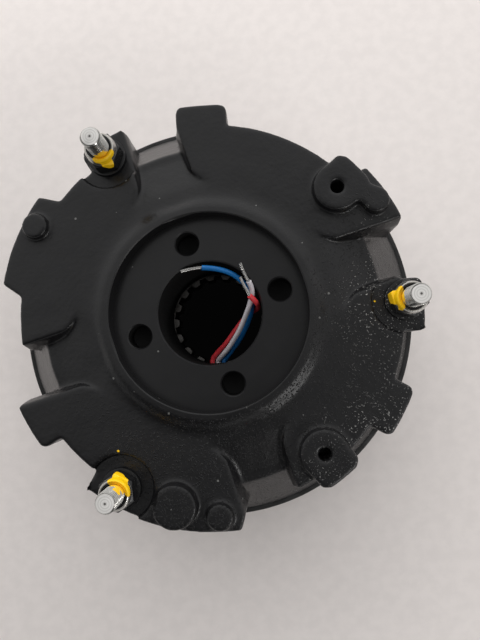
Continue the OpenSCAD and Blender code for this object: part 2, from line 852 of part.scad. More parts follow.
module disc_carrier() {
    color([0.55, 0.55, 0.56])
        difference() {
            union() {
                translate([0, 0, disc_z + hub_inset])
                    cylinder(h = disc_t - 2 * hub_inset, d = hub_d);
                translate([0, 0, disc_z + lining_t])
                    cylinder(h = disc_t - 2 * lining_t, r = lining_out_r - seat_gap);
            }
            translate([0, 0, disc_z - past])
                linear_extrude(disc_t + 2 * past)
                    spline_plan();
        }
}

module front_lining() {
    color([0.28, 0.24, 0.2])
        ring(lining_in_r, lining_out_r, disc_z, lining_t);
}

module rear_lining() {
    color([0.28, 0.24, 0.2])
        ring(lining_in_r, lining_out_r, disc_z + disc_t - lining_t, lining_t);
}

magnet_body();
coil_bobbin();
accelerator_winding();
holding_winding();
coil_potting();
damping_plate();
brake_springs();
counter_springs();
studs();
stud_washers();
lock_nuts();
nut_inserts();
friction_plate();
sealing_strip();
lead_gland();
red_lead();
white_lead();
blue_lead();
red_lead_end();
white_lead_end();
blue_lead_end();
pressure_plate();
disc_carrier();
rear_lining();
front_lining();
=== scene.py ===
"""Looks of a spring applied motor brake: leads, casting, fasteners, finishes, light and camera.

Sizes are in millimetres unless a name says otherwise, and become metres where a mesh is made.
"""

import logging
import math
from contextlib import contextmanager
from dataclasses import dataclass, field
from enum import Enum
from typing import Callable, Iterator, Sequence

import bpy
from mathutils import Matrix, Vector


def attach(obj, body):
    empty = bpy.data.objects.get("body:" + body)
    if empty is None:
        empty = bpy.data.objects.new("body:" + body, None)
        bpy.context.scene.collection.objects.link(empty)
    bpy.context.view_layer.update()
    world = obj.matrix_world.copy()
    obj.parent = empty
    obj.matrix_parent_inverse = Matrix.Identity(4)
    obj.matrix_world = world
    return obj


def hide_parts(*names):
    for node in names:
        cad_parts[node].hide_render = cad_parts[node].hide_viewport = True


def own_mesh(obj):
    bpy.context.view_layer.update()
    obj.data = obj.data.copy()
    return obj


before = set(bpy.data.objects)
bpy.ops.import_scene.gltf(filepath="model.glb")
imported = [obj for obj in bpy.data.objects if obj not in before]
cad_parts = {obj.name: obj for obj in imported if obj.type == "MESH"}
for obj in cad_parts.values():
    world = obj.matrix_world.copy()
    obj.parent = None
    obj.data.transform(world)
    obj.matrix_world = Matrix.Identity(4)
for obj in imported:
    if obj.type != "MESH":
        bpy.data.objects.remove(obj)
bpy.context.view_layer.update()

MM = 0.001
FULL_TURN = 2 * math.pi
LOG = logging.getLogger("brake")

Colour = tuple[float, float, float]
Point = tuple[float, float, float]
Profile = Sequence[tuple[float, float]]


class Body(Enum):
    """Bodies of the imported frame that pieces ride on."""

    HOUSING = "housing"
    PRESSURE_PLATE = "pressure_plate"
    BRAKE_DISC = "brake_disc"


class Slot(Enum):
    """Material slots of the record."""

    BLACK_PAINT = "black_paint"
    ZINC = "zinc"
    INSERT_PLASTIC = "insert_plastic"
    SEAL_RUBBER = "seal_rubber"
    FRICTION_IRON = "friction_iron"
    PLATE_STEEL = "plate_steel"
    CARRIER_STEEL = "carrier_steel"
    LEAD_RED = "lead_red"
    LEAD_WHITE = "lead_white"
    LEAD_BLUE = "lead_blue"
    TINNED_COPPER = "tinned_copper"
    SPRING_STEEL = "spring_steel"


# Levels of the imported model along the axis
FLOOR_Z = 70.15
SPOT_FACE_Z = 71.15
NUT_Z = 72.75
STUD_TOP_Z = 91.65
STUD_CIRCLE_R = 77.5
STUD_ANGLES = (0.0, 120.0, 240.0)
GLAND_Z = 46.15
TAPPED_TOP_Z = 77.65
TAPPED_CIRCLE_R = 70.5
TAPPED_ANGLES = (40.4, 306.0)
REAR_CIRCLE_R = 30.0
REAR_ANGLES = (15.0, 105.0, 195.0, 285.0)
SPRING_CIRCLE_R = 70.0
SPRING_ANGLES = (30.0, 90.0, 150.0, 210.0, 270.0, 330.0)


def metres(point: Sequence[float]) -> Vector:
    """Return a point given in millimetres as a vector in metres."""
    return Vector(point) * MM


def on_circle(radius: float, angle: float) -> Vector:
    """Return the point at a radius in millimetres and an angle in degrees."""
    turn = math.radians(angle)
    return Vector((radius * math.cos(turn), radius * math.sin(turn), 0.0))


def stud_centre(angle: float) -> Vector:
    """Return the axis point of the stud at an angle in degrees, in millimetres."""
    return on_circle(STUD_CIRCLE_R, angle)


# Mesh tools


def activate(obj: bpy.types.Object) -> None:
    """Make one object the only selected and active one.

    Args:
        obj: the object.
    """
    bpy.ops.object.select_all(action="DESELECT")
    obj.select_set(True)
    bpy.context.view_layer.objects.active = obj


@contextmanager
def editing(obj: bpy.types.Object) -> Iterator[bpy.types.Object]:
    """Hold an object in edit mode with all of its mesh selected.

    Args:
        obj: the mesh object to edit.

    Returns:
        A context that yields the object and leaves edit mode at its end.
    """
    activate(obj)
    bpy.ops.object.mode_set(mode="EDIT")
    bpy.ops.mesh.select_all(action="SELECT")
    try:
        yield obj
    finally:
        bpy.ops.object.mode_set(mode="OBJECT")


def apply_modifier(obj: bpy.types.Object, kind: str, **settings: object) -> None:
    """Add a modifier to an object, set it and apply it.

    Args:
        obj: the mesh object.
        kind: Blender's name of the modifier type.
        settings: the modifier's properties.
    """
    activate(obj)
    modifier = obj.modifiers.new(kind.lower(), kind)
    for key, value in settings.items():
        setattr(modifier, key, value)
    bpy.ops.object.modifier_apply(modifier=modifier.name)


def shade(obj: bpy.types.Object, degrees: float) -> None:
    """Shade an object smooth, but for edges sharper than an angle in degrees."""
    activate(obj)
    bpy.ops.object.shade_smooth_by_angle(angle=math.radians(degrees))


def settle(obj: bpy.types.Object, name: str) -> bpy.types.Object:
    """Name a finished piece and put its place into its mesh.

    Args:
        obj: the finished object.
        name: the piece's name.

    Returns:
        The same object, at the origin, unturned and unscaled.
    """
    activate(obj)
    bpy.ops.object.transform_apply(location=True, rotation=True, scale=True)
    obj.name = name
    obj.data.name = name
    return obj


def joined(name: str, parts: Sequence[bpy.types.Object]) -> bpy.types.Object:
    """Join several mesh objects into one settled piece.

    Args:
        name: the piece's name.
        parts: the objects to join.

    Returns:
        The joined object.
    """
    activate(parts[0])
    for part in parts[1:]:
        part.select_set(True)
    bpy.ops.object.join()
    return settle(parts[0], name)


def spun_ring(name: str, profile: Profile, steps: int = 96) -> bpy.types.Object:
    """Spin a closed profile once round the Z axis.

    Args:
        name: the object's name.
        profile: radius and height of each corner of the section, in millimetres.
        steps: segments of the full turn.

    Returns:
        A closed ring with its faces outwards.
    """
    bpy.ops.object.select_all(action="DESELECT")
    bpy.ops.mesh.primitive_circle_add(vertices=len(profile), radius=MM)
    ring = bpy.context.active_object
    ring.name = name
    for vertex, (radius, height) in zip(ring.data.vertices, profile):
        vertex.co = metres((radius, 0.0, height))
    with editing(ring):
        bpy.ops.mesh.spin(steps=steps, angle=FULL_TURN, center=(0, 0, 0), axis=(0, 0, 1))
        bpy.ops.mesh.select_all(action="SELECT")
        bpy.ops.mesh.remove_doubles(threshold=0.001 * MM)
        bpy.ops.mesh.delete_loose(use_verts=True, use_edges=True, use_faces=False)
        bpy.ops.mesh.select_all(action="SELECT")
        bpy.ops.mesh.normals_make_consistent(inside=False)
    return ring


def copied(obj: bpy.types.Object, offset: Vector, turn: float = 0.0) -> bpy.types.Object:
    """Copy a piece with its own mesh, turned about Z and moved.

    Args:
        obj: the piece to copy.
        offset: the move in millimetres.
        turn: the turn in degrees.

    Returns:
        The copy, with its place in its mesh.
    """
    twin = obj.copy()
    twin.data = obj.data.copy()
    bpy.context.collection.objects.link(twin)
    twin.data.transform(Matrix.Translation(offset * MM) @ Matrix.Rotation(math.radians(turn), 4, "Z"))
    return twin


def at_each_stud(name: str, model: bpy.types.Object, turns: Sequence[float]) -> bpy.types.Object:
    """Copy a model made on the Z axis to the three studs and join the copies.

    Args:
        name: the piece's name.
        model: the model, which is removed.
        turns: the turn of each copy in degrees.

    Returns:
        One object that holds the three copies.
    """
    copies = [copied(model, stud_centre(a), t) for a, t in zip(STUD_ANGLES, turns)]
    bpy.data.objects.remove(model)
    return joined(name, copies)


def copy_of_node(node: str, name: str) -> bpy.types.Object:
    """Copy a node of the frame as a new object with merged corners.

    Args:
        node: the node's name.
        name: the new object's name.

    Returns:
        The copy, which holds no material.
    """
    obj = bpy.data.objects.new(name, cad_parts[node].data.copy())
    bpy.context.collection.objects.link(obj)
    obj.data.materials.clear()
    with editing(obj):
        bpy.ops.mesh.remove_doubles(threshold=0.001 * MM)
    return obj


def fit_out(obj: bpy.types.Object, body: Body, slot: Slot, *nodes: str) -> None:
    """Tie a new piece to its body and hide the nodes that it stands for.

    Args:
        obj: the piece.
        body: the body that it rides on.
        slot: not used.
        nodes: the nodes that it replaces.
    """
    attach(obj, body.value)
    if nodes:
        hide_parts(*nodes)
    LOG.info("piece %s on %s for %s", obj.name, body.value, ", ".join(nodes))


# Finishes


class Graph:
    """A node tree under construction."""

    def __init__(self, tree: bpy.types.NodeTree) -> None:
        """Hold the tree."""
        self.tree = tree

    def add(self, kind: str, **settings: object) -> bpy.types.Node:
        """Add a node and set its properties.

        Args:
            kind: the node's type name without the ShaderNode prefix.
            settings: the node's properties.

        Returns:
            The new node.
        """
        node = self.tree.nodes.new("ShaderNode" + kind)
        for key, value in settings.items():
            setattr(node, key, value)
        return node

    def feed(self, socket: bpy.types.NodeSocket, value: object) -> None:
        """Link an output to a socket, or set the socket to a plain value.

        Args:
            socket: the input to feed.
            value: an output, or a plain value.
        """
        if isinstance(value, bpy.types.NodeSocket):
            self.tree.links.new(value, socket)
        else:
            socket.default_value = value

    def math(self, operation: str, *values: object) -> bpy.types.NodeSocket:
        """Return the output of a Math node.

        Args:
            operation: the node's operation.
            values: its inputs in order.

        Returns:
            The value output.
        """
        node = self.add("Math", operation=operation)
        for socket, value in zip(node.inputs, values):
            self.feed(socket, value)
        return node.outputs[0]

    def part(self, vector: object, axis: str) -> bpy.types.NodeSocket:
        """Return the X, Y or Z of a vector.

        Args:
            vector: the vector.
            axis: X, Y or Z.

        Returns:
            The value output.
        """
        node = self.add("SeparateXYZ")
        self.feed(node.inputs[0], vector)
        return node.outputs[axis]

    def radius(self, vector: object) -> bpy.types.NodeSocket:
        """Return the distance of a place from the Z axis.

        Args:
            vector: the place.

        Returns:
            The value output.
        """
        flat = self.vector("MULTIPLY", vector, (1.0, 1.0, 0.0)).outputs[0]
        node = self.add("VectorMath", operation="LENGTH")
        self.feed(node.inputs[0], flat)
        return node.outputs["Value"]

    def vector(self, operation: str, a: object, b: object) -> bpy.types.Node:
        """Return a Vector Math node with two inputs fed.

        Args:
            operation: the node's operation.
            a: the first input.
            b: the second input.

        Returns:
            The node.
        """
        node = self.add("VectorMath", operation=operation)
        self.feed(node.inputs[0], a)
        self.feed(node.inputs[1], b)
        return node

    def noise(self, vector: object, scale: object, detail: float = 2.0) -> bpy.types.Node:
        """Return a Noise Texture node.

        Args:
            vector: the coordinates.
            scale: features per metre.
            detail: octaves.

        Returns:
            The node.
        """
        node = self.add("TexNoise")
        self.feed(node.inputs["Vector"], vector)
        self.feed(node.inputs["Scale"], scale)
        node.inputs["Detail"].default_value = detail
        return node

    def ramp(self, value: object, low: object, high: object, a: object = 0.0,
             b: object = 1.0) -> bpy.types.NodeSocket:
        """Return a value eased from a to b while the input goes from low to high.

        Args:
            value: the input.
            low: input at the start.
            high: input at the end.
            a: output at the start.
            b: output at the end.

        Returns:
            The value output.
        """
        node = self.add("MapRange", interpolation_type="SMOOTHSTEP")
        for key, item in zip(("Value", "From Min", "From Max", "To Min", "To Max"), (value, low, high, a, b)):
            self.feed(node.inputs[key], item)
        return node.outputs[0]

    def mix(self, factor: object, a: object, b: object) -> bpy.types.NodeSocket:
        """Return the mix of two colours.

        Args:
            factor: the share of the second colour.
            a: the first colour.
            b: the second colour.

        Returns:
            The colour output.
        """
        node = self.add("Mix", data_type="RGBA")
        self.feed(node.inputs[0], factor)
        for socket, value in ((node.inputs[6], a), (node.inputs[7], b)):
            self.feed(socket, (*value, 1.0) if isinstance(value, tuple) else value)
        return node.outputs[2]

    def group(self, tree: bpy.types.NodeTree, **inputs: object) -> bpy.types.Node:
        """Place a shared effect and feed its named inputs.

        Args:
            tree: the effect's node group.
            inputs: values by input name, with an underscore for a space.

        Returns:
            The group node.
        """
        node = self.add("Group")
        node.node_tree = tree
        for key, value in inputs.items():
            self.feed(node.inputs[key.replace("_", " ")], value)
        return node


@dataclass(frozen=True)
class Dab:
    """One round dab of marking paint near a stud."""

    stud: float
    x: float
    y: float
    z: float
    radius: float

    def centre(self) -> Vector:
        """Return the dab's middle in metres."""
        return (stud_centre(self.stud) + Vector((self.x, self.y, self.z))) * MM


MARKING_DABS = (
    Dab(120, 2.2, -5.0, 81.6, 2.8), Dab(120, -0.8, -4.6, 82.0, 1.7), Dab(120, 4.8, -3.2, 82.0, 1.9),
    Dab(120, 2.6, -6.4, 79.3, 2.6), Dab(120, 2.9, -6.9, 77.2, 1.8), Dab(120, 1.6, -3.2, 83.8, 1.4),
    Dab(0, -5.6, 0.2, 82.0, 2.6), Dab(0, -6.3, 0.4, 80.2, 2.9), Dab(0, -6.9, 0.5, 77.6, 2.6),
    Dab(0, -7.3, 0.3, 75.2, 2.2), Dab(0, -4.9, 2.7, 82.0, 1.9), Dab(0, -4.7, -3.0, 82.0, 1.8),
    Dab(0, -5.0, -4.4, 80.5, 1.4), Dab(0, -3.9, -0.4, 83.3, 1.3), Dab(0, -8.6, 0.0, 72.9, 0.8),
    Dab(0, -11.6, 0.2, 71.2, 0.4),
    Dab(240, 2.3, 4.9, 81.8, 2.6), Dab(240, -0.4, 5.2, 82.0, 1.8), Dab(240, 4.9, 2.2, 82.0, 2.1),
    Dab(240, 5.6, 0.7, 81.8, 1.4), Dab(240, 1.8, 6.2, 79.6, 2.9), Dab(240, 1.2, 6.7, 77.3, 2.0),
    Dab(240, 3.4, 5.4, 80.4, 2.4), Dab(240, 2.9, 2.9, 85.6, 1.9), Dab(240, 0.0, 14.8, 73.7, 0.5),
)


class Effects:
    """Shader node groups that several finishes share, each built once."""

    def __init__(self) -> None:
        """Build every group."""
        self.cast_skin = self._cast_skin()
        self.dust = self._dust()
        self.marking = self._marking()
        self.turned = self._turned()
        self.mottle = self._mottle()

    def _start(self, name: str, inputs: dict[str, object],
               outputs: Sequence[str]) -> tuple[Graph, dict, bpy.types.Node]:
        """Start a group with named sockets.

        Args:
            name: the group's name.
            inputs: default values by input name, None for coordinates.
            outputs: names of the value outputs.

        Returns:
            The graph, its input sockets by name and the output node.
        """
        tree = bpy.data.node_groups.new(name, "ShaderNodeTree")
        for key, value in inputs.items():
            kind = "NodeSocketVector" if value is None else "NodeSocketFloat"
            socket = tree.interface.new_socket(key, in_out="INPUT", socket_type=kind)
            if value is not None:
                socket.default_value = value
        for key in outputs:
            tree.interface.new_socket(key, in_out="OUTPUT", socket_type="NodeSocketFloat")
        source = tree.nodes.new("NodeGroupInput")
        target = tree.nodes.new("NodeGroupOutput")
        return Graph(tree), {key: source.outputs[key] for key in inputs}, target

    def _cast_skin(self) -> bpy.types.NodeTree:
        """Return paint over sand-cast metal: its height, where it is gritty, its grains, and the side where
        pale grains are painted glints.

        Returns:
            The node group.
        """
        g, ins, out = self._start("cast skin", {"Vector": None, "Peel": 1.0, "Grit": 1.0},
                                  ("Height", "Patch", "Grains", "Painted glint side"))
        cast = g.ramp(g.radius(ins["Vector"]), 40.5 * MM, 42.5 * MM)
        peel = g.noise(ins["Vector"], 560.0, 2.0).outputs[0]
        grit = g.noise(ins["Vector"], 1350.0, 2.0).outputs[0]
        flow = g.noise(ins["Vector"], 34.0, 2.0).outputs[0]
        side = g.vector("DOT_PRODUCT", ins["Vector"], (6.0, -6.5, 0.0)).outputs["Value"]
        patch = g.math("MULTIPLY", g.ramp(g.math("ADD", side, flow), 0.42, 1.0), cast)
        grains = g.math("MULTIPLY", g.ramp(grit, 0.56, 0.74), patch)
        soft = g.math("MULTIPLY", g.math("MULTIPLY", peel, ins["Peel"]), g.ramp(cast, 0.0, 1.0, 0.25, 1.0))
        g.feed(out.inputs["Height"], g.math("ADD", soft, g.math("MULTIPLY", grains, ins["Grit"])))
        g.feed(out.inputs["Patch"], patch)
        g.feed(out.inputs["Grains"], grains)
        # Painted glints: the lower right side, facing the key lamp, where the grains are coloured pale.
        glint_side = g.vector("DOT_PRODUCT", ins["Vector"], (11.0, -3.5, 0.0)).outputs["Value"]
        g.feed(out.inputs["Painted glint side"], g.ramp(g.math("ADD", glint_side, flow), 1.05, 1.4))
        return g.tree

    def _dust(self) -> bpy.types.NodeTree:
        """Return a mask of sparse pale specks.

        Returns:
            The node group.
        """
        g, ins, out = self._start("dust", {"Vector": None, "Density": 400.0, "Size": 0.1}, ("Mask",))
        cells = g.add("TexVoronoi", feature="F1")
        g.feed(cells.inputs["Vector"], ins["Vector"])
        g.feed(cells.inputs["Scale"], ins["Density"])
        red = g.add("SeparateColor")
        g.feed(red.inputs[0], cells.outputs["Color"])
        size = g.math("MULTIPLY", g.ramp(red.outputs[0], 0.72, 1.0), ins["Size"])
        g.feed(out.inputs["Mask"], g.math("LESS_THAN", cells.outputs["Distance"], size))
        return g.tree

    def _marking(self) -> bpy.types.NodeTree:
        """Return a mask of the marking paint on the fasteners, its dabs run into each other.

        Returns:
            The node group.
        """
        g, ins, out = self._start("marking", {"Vector": None}, ("Mask",))
        wander = g.vector("SUBTRACT", g.noise(ins["Vector"], 420.0, 2.0).outputs["Color"], (0.5, 0.5, 0.5))
        shift = g.vector("MULTIPLY", wander.outputs[0], (0.9 * MM,) * 3).outputs[0]
        place = g.vector("ADD", ins["Vector"], shift)
        shape: object = 1.0
        for dab in MARKING_DABS:
            reach = g.vector("DISTANCE", place.outputs[0], tuple(dab.centre())).outputs["Value"]
            shape = g.math("SMOOTH_MIN", shape, g.math("SUBTRACT", reach, dab.radius * MM), 1.1 * MM)
        g.feed(out.inputs["Mask"], g.ramp(shape, 0.08 * MM, -0.08 * MM))
        return g.tree

    def _turned(self) -> bpy.types.NodeTree:
        """Return the height of fine rings turned about the Z axis.

        Returns:
            The node group.
        """
        g, ins, out = self._start("turned", {"Vector": None, "Rings": 2600.0}, ("Height",))
        radius = g.radius(ins["Vector"])
        wave = g.math("SINE", g.math("MULTIPLY", radius, g.math("MULTIPLY", ins["Rings"], FULL_TURN)))
        drift = g.noise(ins["Vector"], 160.0, 3.0).outputs[0]
        g.feed(out.inputs["Height"], g.math("MULTIPLY", wave, drift))
        return g.tree

    def _mottle(self) -> bpy.types.NodeTree:
        """Return a soft variation between 0 and 1 with a finer one on it.

        Returns:
            The node group.
        """
        g, ins, out = self._start("mottle", {"Vector": None, "Scale": 90.0}, ("Fac",))
        broad = g.noise(ins["Vector"], ins["Scale"], 3.0).outputs[0]
        fine = g.noise(ins["Vector"], g.math("MULTIPLY", ins["Scale"], 9.0), 2.0).outputs[0]
        mixed = g.math("ADD", g.math("MULTIPLY", broad, 0.7), g.math("MULTIPLY", fine, 0.3))
        g.feed(out.inputs["Fac"], g.ramp(mixed, 0.3, 0.7))
        return g.tree


MARKING_YELLOW: Colour = (1.0, 0.60, 0.004)
MARKING_ROUGHNESS = 0.45
MARKING_RISE = 2.0

# Mottle in features per metre
HEIGHT_SCALE = 700.0
TINT_SCALE = 110.0
GLOSS_SCALE = 170.0


@dataclass(frozen=True)
class Finish:
    """A material on object coordinates with mottle, and the hooks that a kind of finish fills."""

    name: str
    colour: Colour
    shade: Colour
    roughness: float
    metallic: float = 0.0
    bump_mm: float = 0.05
    marked: bool = False
    gleam: float = 0.5

    def height(self, g: Graph, place: object, effects: Effects) -> bpy.types.NodeSocket:
        """Return the surface's height for the bump."""
        return g.group(effects.mottle, Vector=place, Scale=HEIGHT_SCALE).outputs["Fac"]

    def tint(self, g: Graph, place: object, effects: Effects) -> object:
        """Return the base colour."""
        fac = g.group(effects.mottle, Vector=place, Scale=TINT_SCALE).outputs["Fac"]
        return g.mix(fac, self.shade, self.colour)

    def gloss(self, g: Graph, place: object, effects: Effects) -> object:
        """Return the roughness."""
        fac = g.group(effects.mottle, Vector=place, Scale=GLOSS_SCALE).outputs["Fac"]
        return g.ramp(fac, 0.0, 1.0, 0.82 * self.roughness, 1.18 * self.roughness)

    def metal(self, g: Graph, place: object, effects: Effects) -> object:
        """Return how metallic the surface is."""
        return self.metallic

    def coordinates(self, g: Graph) -> bpy.types.NodeSocket:
        """Return the object's own coordinates."""
        return g.add("TexCoord").outputs["Object"]

    def material(self, effects: Effects) -> bpy.types.Material:
        """Build the material.

        Args:
            effects: the shared node groups.

        Returns:
            The new material.
        """
        material = bpy.data.materials.new(self.name)
        material.use_nodes = True
        material.diffuse_color = (*self.colour, 1.0)
        tree = material.node_tree
        tree.nodes.clear()
        g = Graph(tree)
        place = self.coordinates(g)
        colour = self.tint(g, place, effects)
        rough = self.gloss(g, place, effects)
        metal = self.metal(g, place, effects)
        height = self.height(g, place, effects)
        if self.marked:
            mask = g.group(effects.marking, Vector=place).outputs["Mask"]
            colour = g.mix(mask, colour, MARKING_YELLOW)
            rough = g.ramp(mask, 0.0, 1.0, rough, MARKING_ROUGHNESS)
            metal = g.ramp(mask, 0.0, 1.0, metal, 0.0)
            height = g.math("ADD", height, g.math("MULTIPLY", mask, MARKING_RISE))
        bump = g.add("Bump")
        bump.inputs["Strength"].default_value = 1.0
        bump.inputs["Distance"].default_value = self.bump_mm * MM
        g.feed(bump.inputs["Height"], height)
        shader = g.add("BsdfPrincipled")
        g.feed(shader.inputs["Base Color"], colour)
        g.feed(shader.inputs["Roughness"], rough)
        g.feed(shader.inputs["Metallic"], metal)
        g.feed(shader.inputs["Normal"], bump.outputs[0])
        shader.inputs["Specular IOR Level"].default_value = self.gleam
        output = g.add("OutputMaterial")
        g.feed(output.inputs["Surface"], shader.outputs[0])
        return material


@dataclass(frozen=True)
class CastPaint(Finish):
    """Semi-gloss paint over a sand casting, with dust on it, painted glints on one side and painted shade in
    the bore.
    """

    peel: float = 1.0
    grit: float = 2.8
    gritty: float = 0.34
    shiny: float = 0.28
    dust: Colour = (0.13, 0.13, 0.125)
    # Pale colour of the painted glints on the grains.
    glint_colour: Colour = (0.40, 0.395, 0.38)
    # Painted shade: near-black colour, with a rougher gloss, in the bore and the rear holes.
    hole_shade: Colour = (0.002, 0.002, 0.002)
    hole_shade_roughness: float = 0.7
    holes_r: float = 40.0
    holes_z: float = FLOOR_Z - 0.6
    edge_r: float = 1.0
    edge_z: float = 1.2

    def holes(self, g: Graph, place: object) -> bpy.types.NodeSocket:
        """Return 1 in the bore and each rear hole, where painted shade darkens the paint.

        Args:
            g: the material's graph.
            place: the coordinates.

        Returns:
            The value output.
        """
        inside = g.ramp(g.radius(place), self.holes_r * MM, (self.holes_r - self.edge_r) * MM)
        deep = g.ramp(g.part(place, "Z"), self.holes_z * MM, (self.holes_z - self.edge_z) * MM)
        return g.math("MULTIPLY", inside, deep)

    def height(self, g: Graph, place: object, effects: Effects) -> bpy.types.NodeSocket:
        """Return soft peel with grit in patches."""
        return g.group(effects.cast_skin, Vector=place, Peel=self.peel, Grit=self.grit).outputs["Height"]

    def tint(self, g: Graph, place: object, effects: Effects) -> object:
        """Return the paint with sparse dust specks, and pale grains on one side as painted glints.

        Args:
            g: the material's graph.
            place: the coordinates.
            effects: the shared node groups.

        Returns:
            The colour output.
        """
        base = super().tint(g, place, effects)
        specks = g.group(effects.dust, Vector=place, Density=230.0, Size=0.11).outputs["Mask"]
        skin = g.group(effects.cast_skin, Vector=place)
        # Painted glints: pale grains on the lower right side.
        pale_mask = g.math("MULTIPLY", g.ramp(skin.outputs["Grains"], 0.4, 0.7), skin.outputs["Painted glint side"])
        dust_and_glints = g.mix(pale_mask, g.mix(specks, base, self.dust), self.glint_colour)
        # Painted shade darkens the bore and the rear holes.
        return g.mix(self.holes(g, place), dust_and_glints, self.hole_shade)

    def gloss(self, g: Graph, place: object, effects: Effects) -> object:
        """Return a gloss that is dull where the grit is, but for its grains.

        Args:
            g: the material's graph.
            place: the coordinates.
            effects: the shared node groups.

        Returns:
            The value output.
        """
        skin = g.group(effects.cast_skin, Vector=place)
        ground = g.ramp(skin.outputs["Patch"], 0.0, 1.0, self.roughness, self.gritty)
        paint = g.ramp(skin.outputs["Grains"], 0.25, 0.9, ground, self.shiny)
        return g.ramp(self.holes(g, place), 0.0, 1.0, paint, self.hole_shade_roughness)


@dataclass(frozen=True)
class TurnedMetal(Finish):
    """Metal with rings turned about the shaft axis."""

    rings: float = 2600.0

    def height(self, g: Graph, place: object, effects: Effects) -> bpy.types.NodeSocket:
        """Return the turned rings."""
        return g.group(effects.turned, Vector=place, Rings=self.rings).outputs["Height"]


@dataclass(frozen=True)
class StudMetal(Finish):
    """Plated steel with painted shade in the thread's roots, and a paler, turned face where the end is cut.
    """

    tip_z: float = STUD_TOP_Z
    ring_mm: float = 0.9
    # Painted shade for the thread's roots, also used for the centre mark on the cut end.
    root_shade: Colour = (0.10, 0.095, 0.09)
    cut: Colour = (0.80, 0.785, 0.76)
    cut_shade: Colour = (0.64, 0.625, 0.60)
    root_shade_r: tuple[float, float] = (3.45, 3.9)
    mark_r: tuple[float, float] = (0.55, 0.35)

    def off_axis(self, g: Graph, place: object) -> object:
        """Return the distance from the axis of the nearest stud.

        Args:
            g: the material's graph.
            place: the coordinates.

        Returns:
            The value output.
        """
        flat = g.vector("MULTIPLY", place, (1.0, 1.0, 0.0)).outputs[0]
        reach: object = 1.0
        for angle in STUD_ANGLES:
            axis = tuple(stud_centre(angle) * MM)
            reach = g.math("MINIMUM", reach, g.vector("DISTANCE", flat, axis).outputs["Value"])
        return reach

    def rings(self, g: Graph, place: object) -> bpy.types.NodeSocket:
        """Return the rings turned about each stud, between 0 and 1."""
        wave = g.math("SINE", g.math("MULTIPLY", self.off_axis(g, place), FULL_TURN / (self.ring_mm * MM)))
        return g.math("MULTIPLY_ADD", wave, 0.5, 0.5)

    def tint(self, g: Graph, place: object, effects: Effects) -> object:
        """Return plating with painted shade in the roots, and the turned end with its centre mark in the same
        dark colour.

        Args:
            g: the material's graph.
            place: the coordinates.
            effects: the shared node groups.

        Returns:
            The colour output.
        """
        reach = self.off_axis(g, place)
        # Painted shade: the plating darkens towards the thread's roots.
        flank = g.ramp(reach, *(r * MM for r in self.root_shade_r))
        side = g.mix(flank, self.root_shade, super().tint(g, place, effects))
        face = g.mix(self.rings(g, place), self.cut_shade, self.cut)
        face = g.mix(g.ramp(reach, *(r * MM for r in self.mark_r)), face, self.root_shade)
        return g.mix(self.cut_face(g, place), side, face)

    def cut_face(self, g: Graph, place: object) -> bpy.types.NodeSocket:
        """Return 1 on the cut end and 0 below it."""
        return g.ramp(g.part(place, "Z"), (self.tip_z - 0.12) * MM, (self.tip_z - 0.04) * MM)

    def gloss(self, g: Graph, place: object, effects: Effects) -> object:
        """Return a gloss that is dull on the cut end."""
        return g.ramp(self.cut_face(g, place), 0.0, 1.0, super().gloss(g, place, effects), 0.5)

    def metal(self, g: Graph, place: object, effects: Effects) -> object:
        """Return a lower value on the cut end."""
        return g.ramp(self.cut_face(g, place), 0.0, 1.0, self.metallic, 0.25)


@dataclass(frozen=True)
class NutMetal(Finish):
    """Plated nut whose hexagon has taken the casting's paint."""

    painted: Colour = (0.008, 0.008, 0.0085)
    paint_z: float = NUT_Z + 6.4

    def pale_mask(self, g: Graph, place: object) -> bpy.types.NodeSocket:
        """Return 1 on the collar and 0 on the painted hexagon."""
        return g.ramp(g.part(place, "Z"), (self.paint_z - 0.1) * MM, (self.paint_z + 0.1) * MM)

    def tint(self, g: Graph, place: object, effects: Effects) -> object:
        """Return the plating above the paint."""
        return g.mix(self.pale_mask(g, place), self.painted, super().tint(g, place, effects))

    def metal(self, g: Graph, place: object, effects: Effects) -> object:
        """Return no metal under the paint."""
        return g.ramp(self.pale_mask(g, place), 0.0, 1.0, 0.0, self.metallic)


@dataclass(frozen=True)
class WoundWire(Finish):
    """Layers of enamelled wire, round the shaft axis."""

    wires: float = 1250.0

    def height(self, g: Graph, place: object, effects: Effects) -> bpy.types.NodeSocket:
        """Return wire rows stacked along the axis."""
        row = g.math("MULTIPLY", g.part(place, "Z"), self.wires * math.pi)
        return g.math("ABSOLUTE", g.math("SINE", row))


PAINT = CastPaint("cast_paint", (0.0082, 0.0080, 0.0086), (0.0062, 0.0061, 0.0067), 0.30, bump_mm=0.11,
                  marked=True, gleam=0.42)
WASHER_PAINT = CastPaint("washer_paint", (0.007, 0.007, 0.0075), (0.005, 0.005, 0.0055), 0.28, bump_mm=0.05,
                         marked=True, gleam=0.42)
NUT_ZINC = NutMetal("nut_zinc", (0.66, 0.645, 0.61), (0.48, 0.47, 0.445), 0.28, 0.95, 0.015, True)
STUD_ZINC = StudMetal("stud_zinc", (0.66, 0.645, 0.61), (0.48, 0.47, 0.445), 0.26, 0.95, 0.015, True)
INSERT = Finish("nut_insert", (0.016, 0.015, 0.017), (0.010, 0.010, 0.011), 0.5, 0.0, 0.03, True)
RUBBER = Finish("seal_rubber", (0.009, 0.009, 0.009), (0.006, 0.006, 0.006), 0.66, 0.0, 0.04)
IRON = TurnedMetal("turned_iron", (0.30, 0.295, 0.29), (0.20, 0.195, 0.19), 0.42, 1.0, 0.03, rings=1400.0)
STEEL = TurnedMetal("ground_steel", (0.46, 0.455, 0.45), (0.34, 0.335, 0.33), 0.36, 1.0, 0.02)
CARRIER = Finish("carrier_steel", (0.13, 0.125, 0.12), (0.06, 0.056, 0.052), 0.42, 1.0, 0.03)
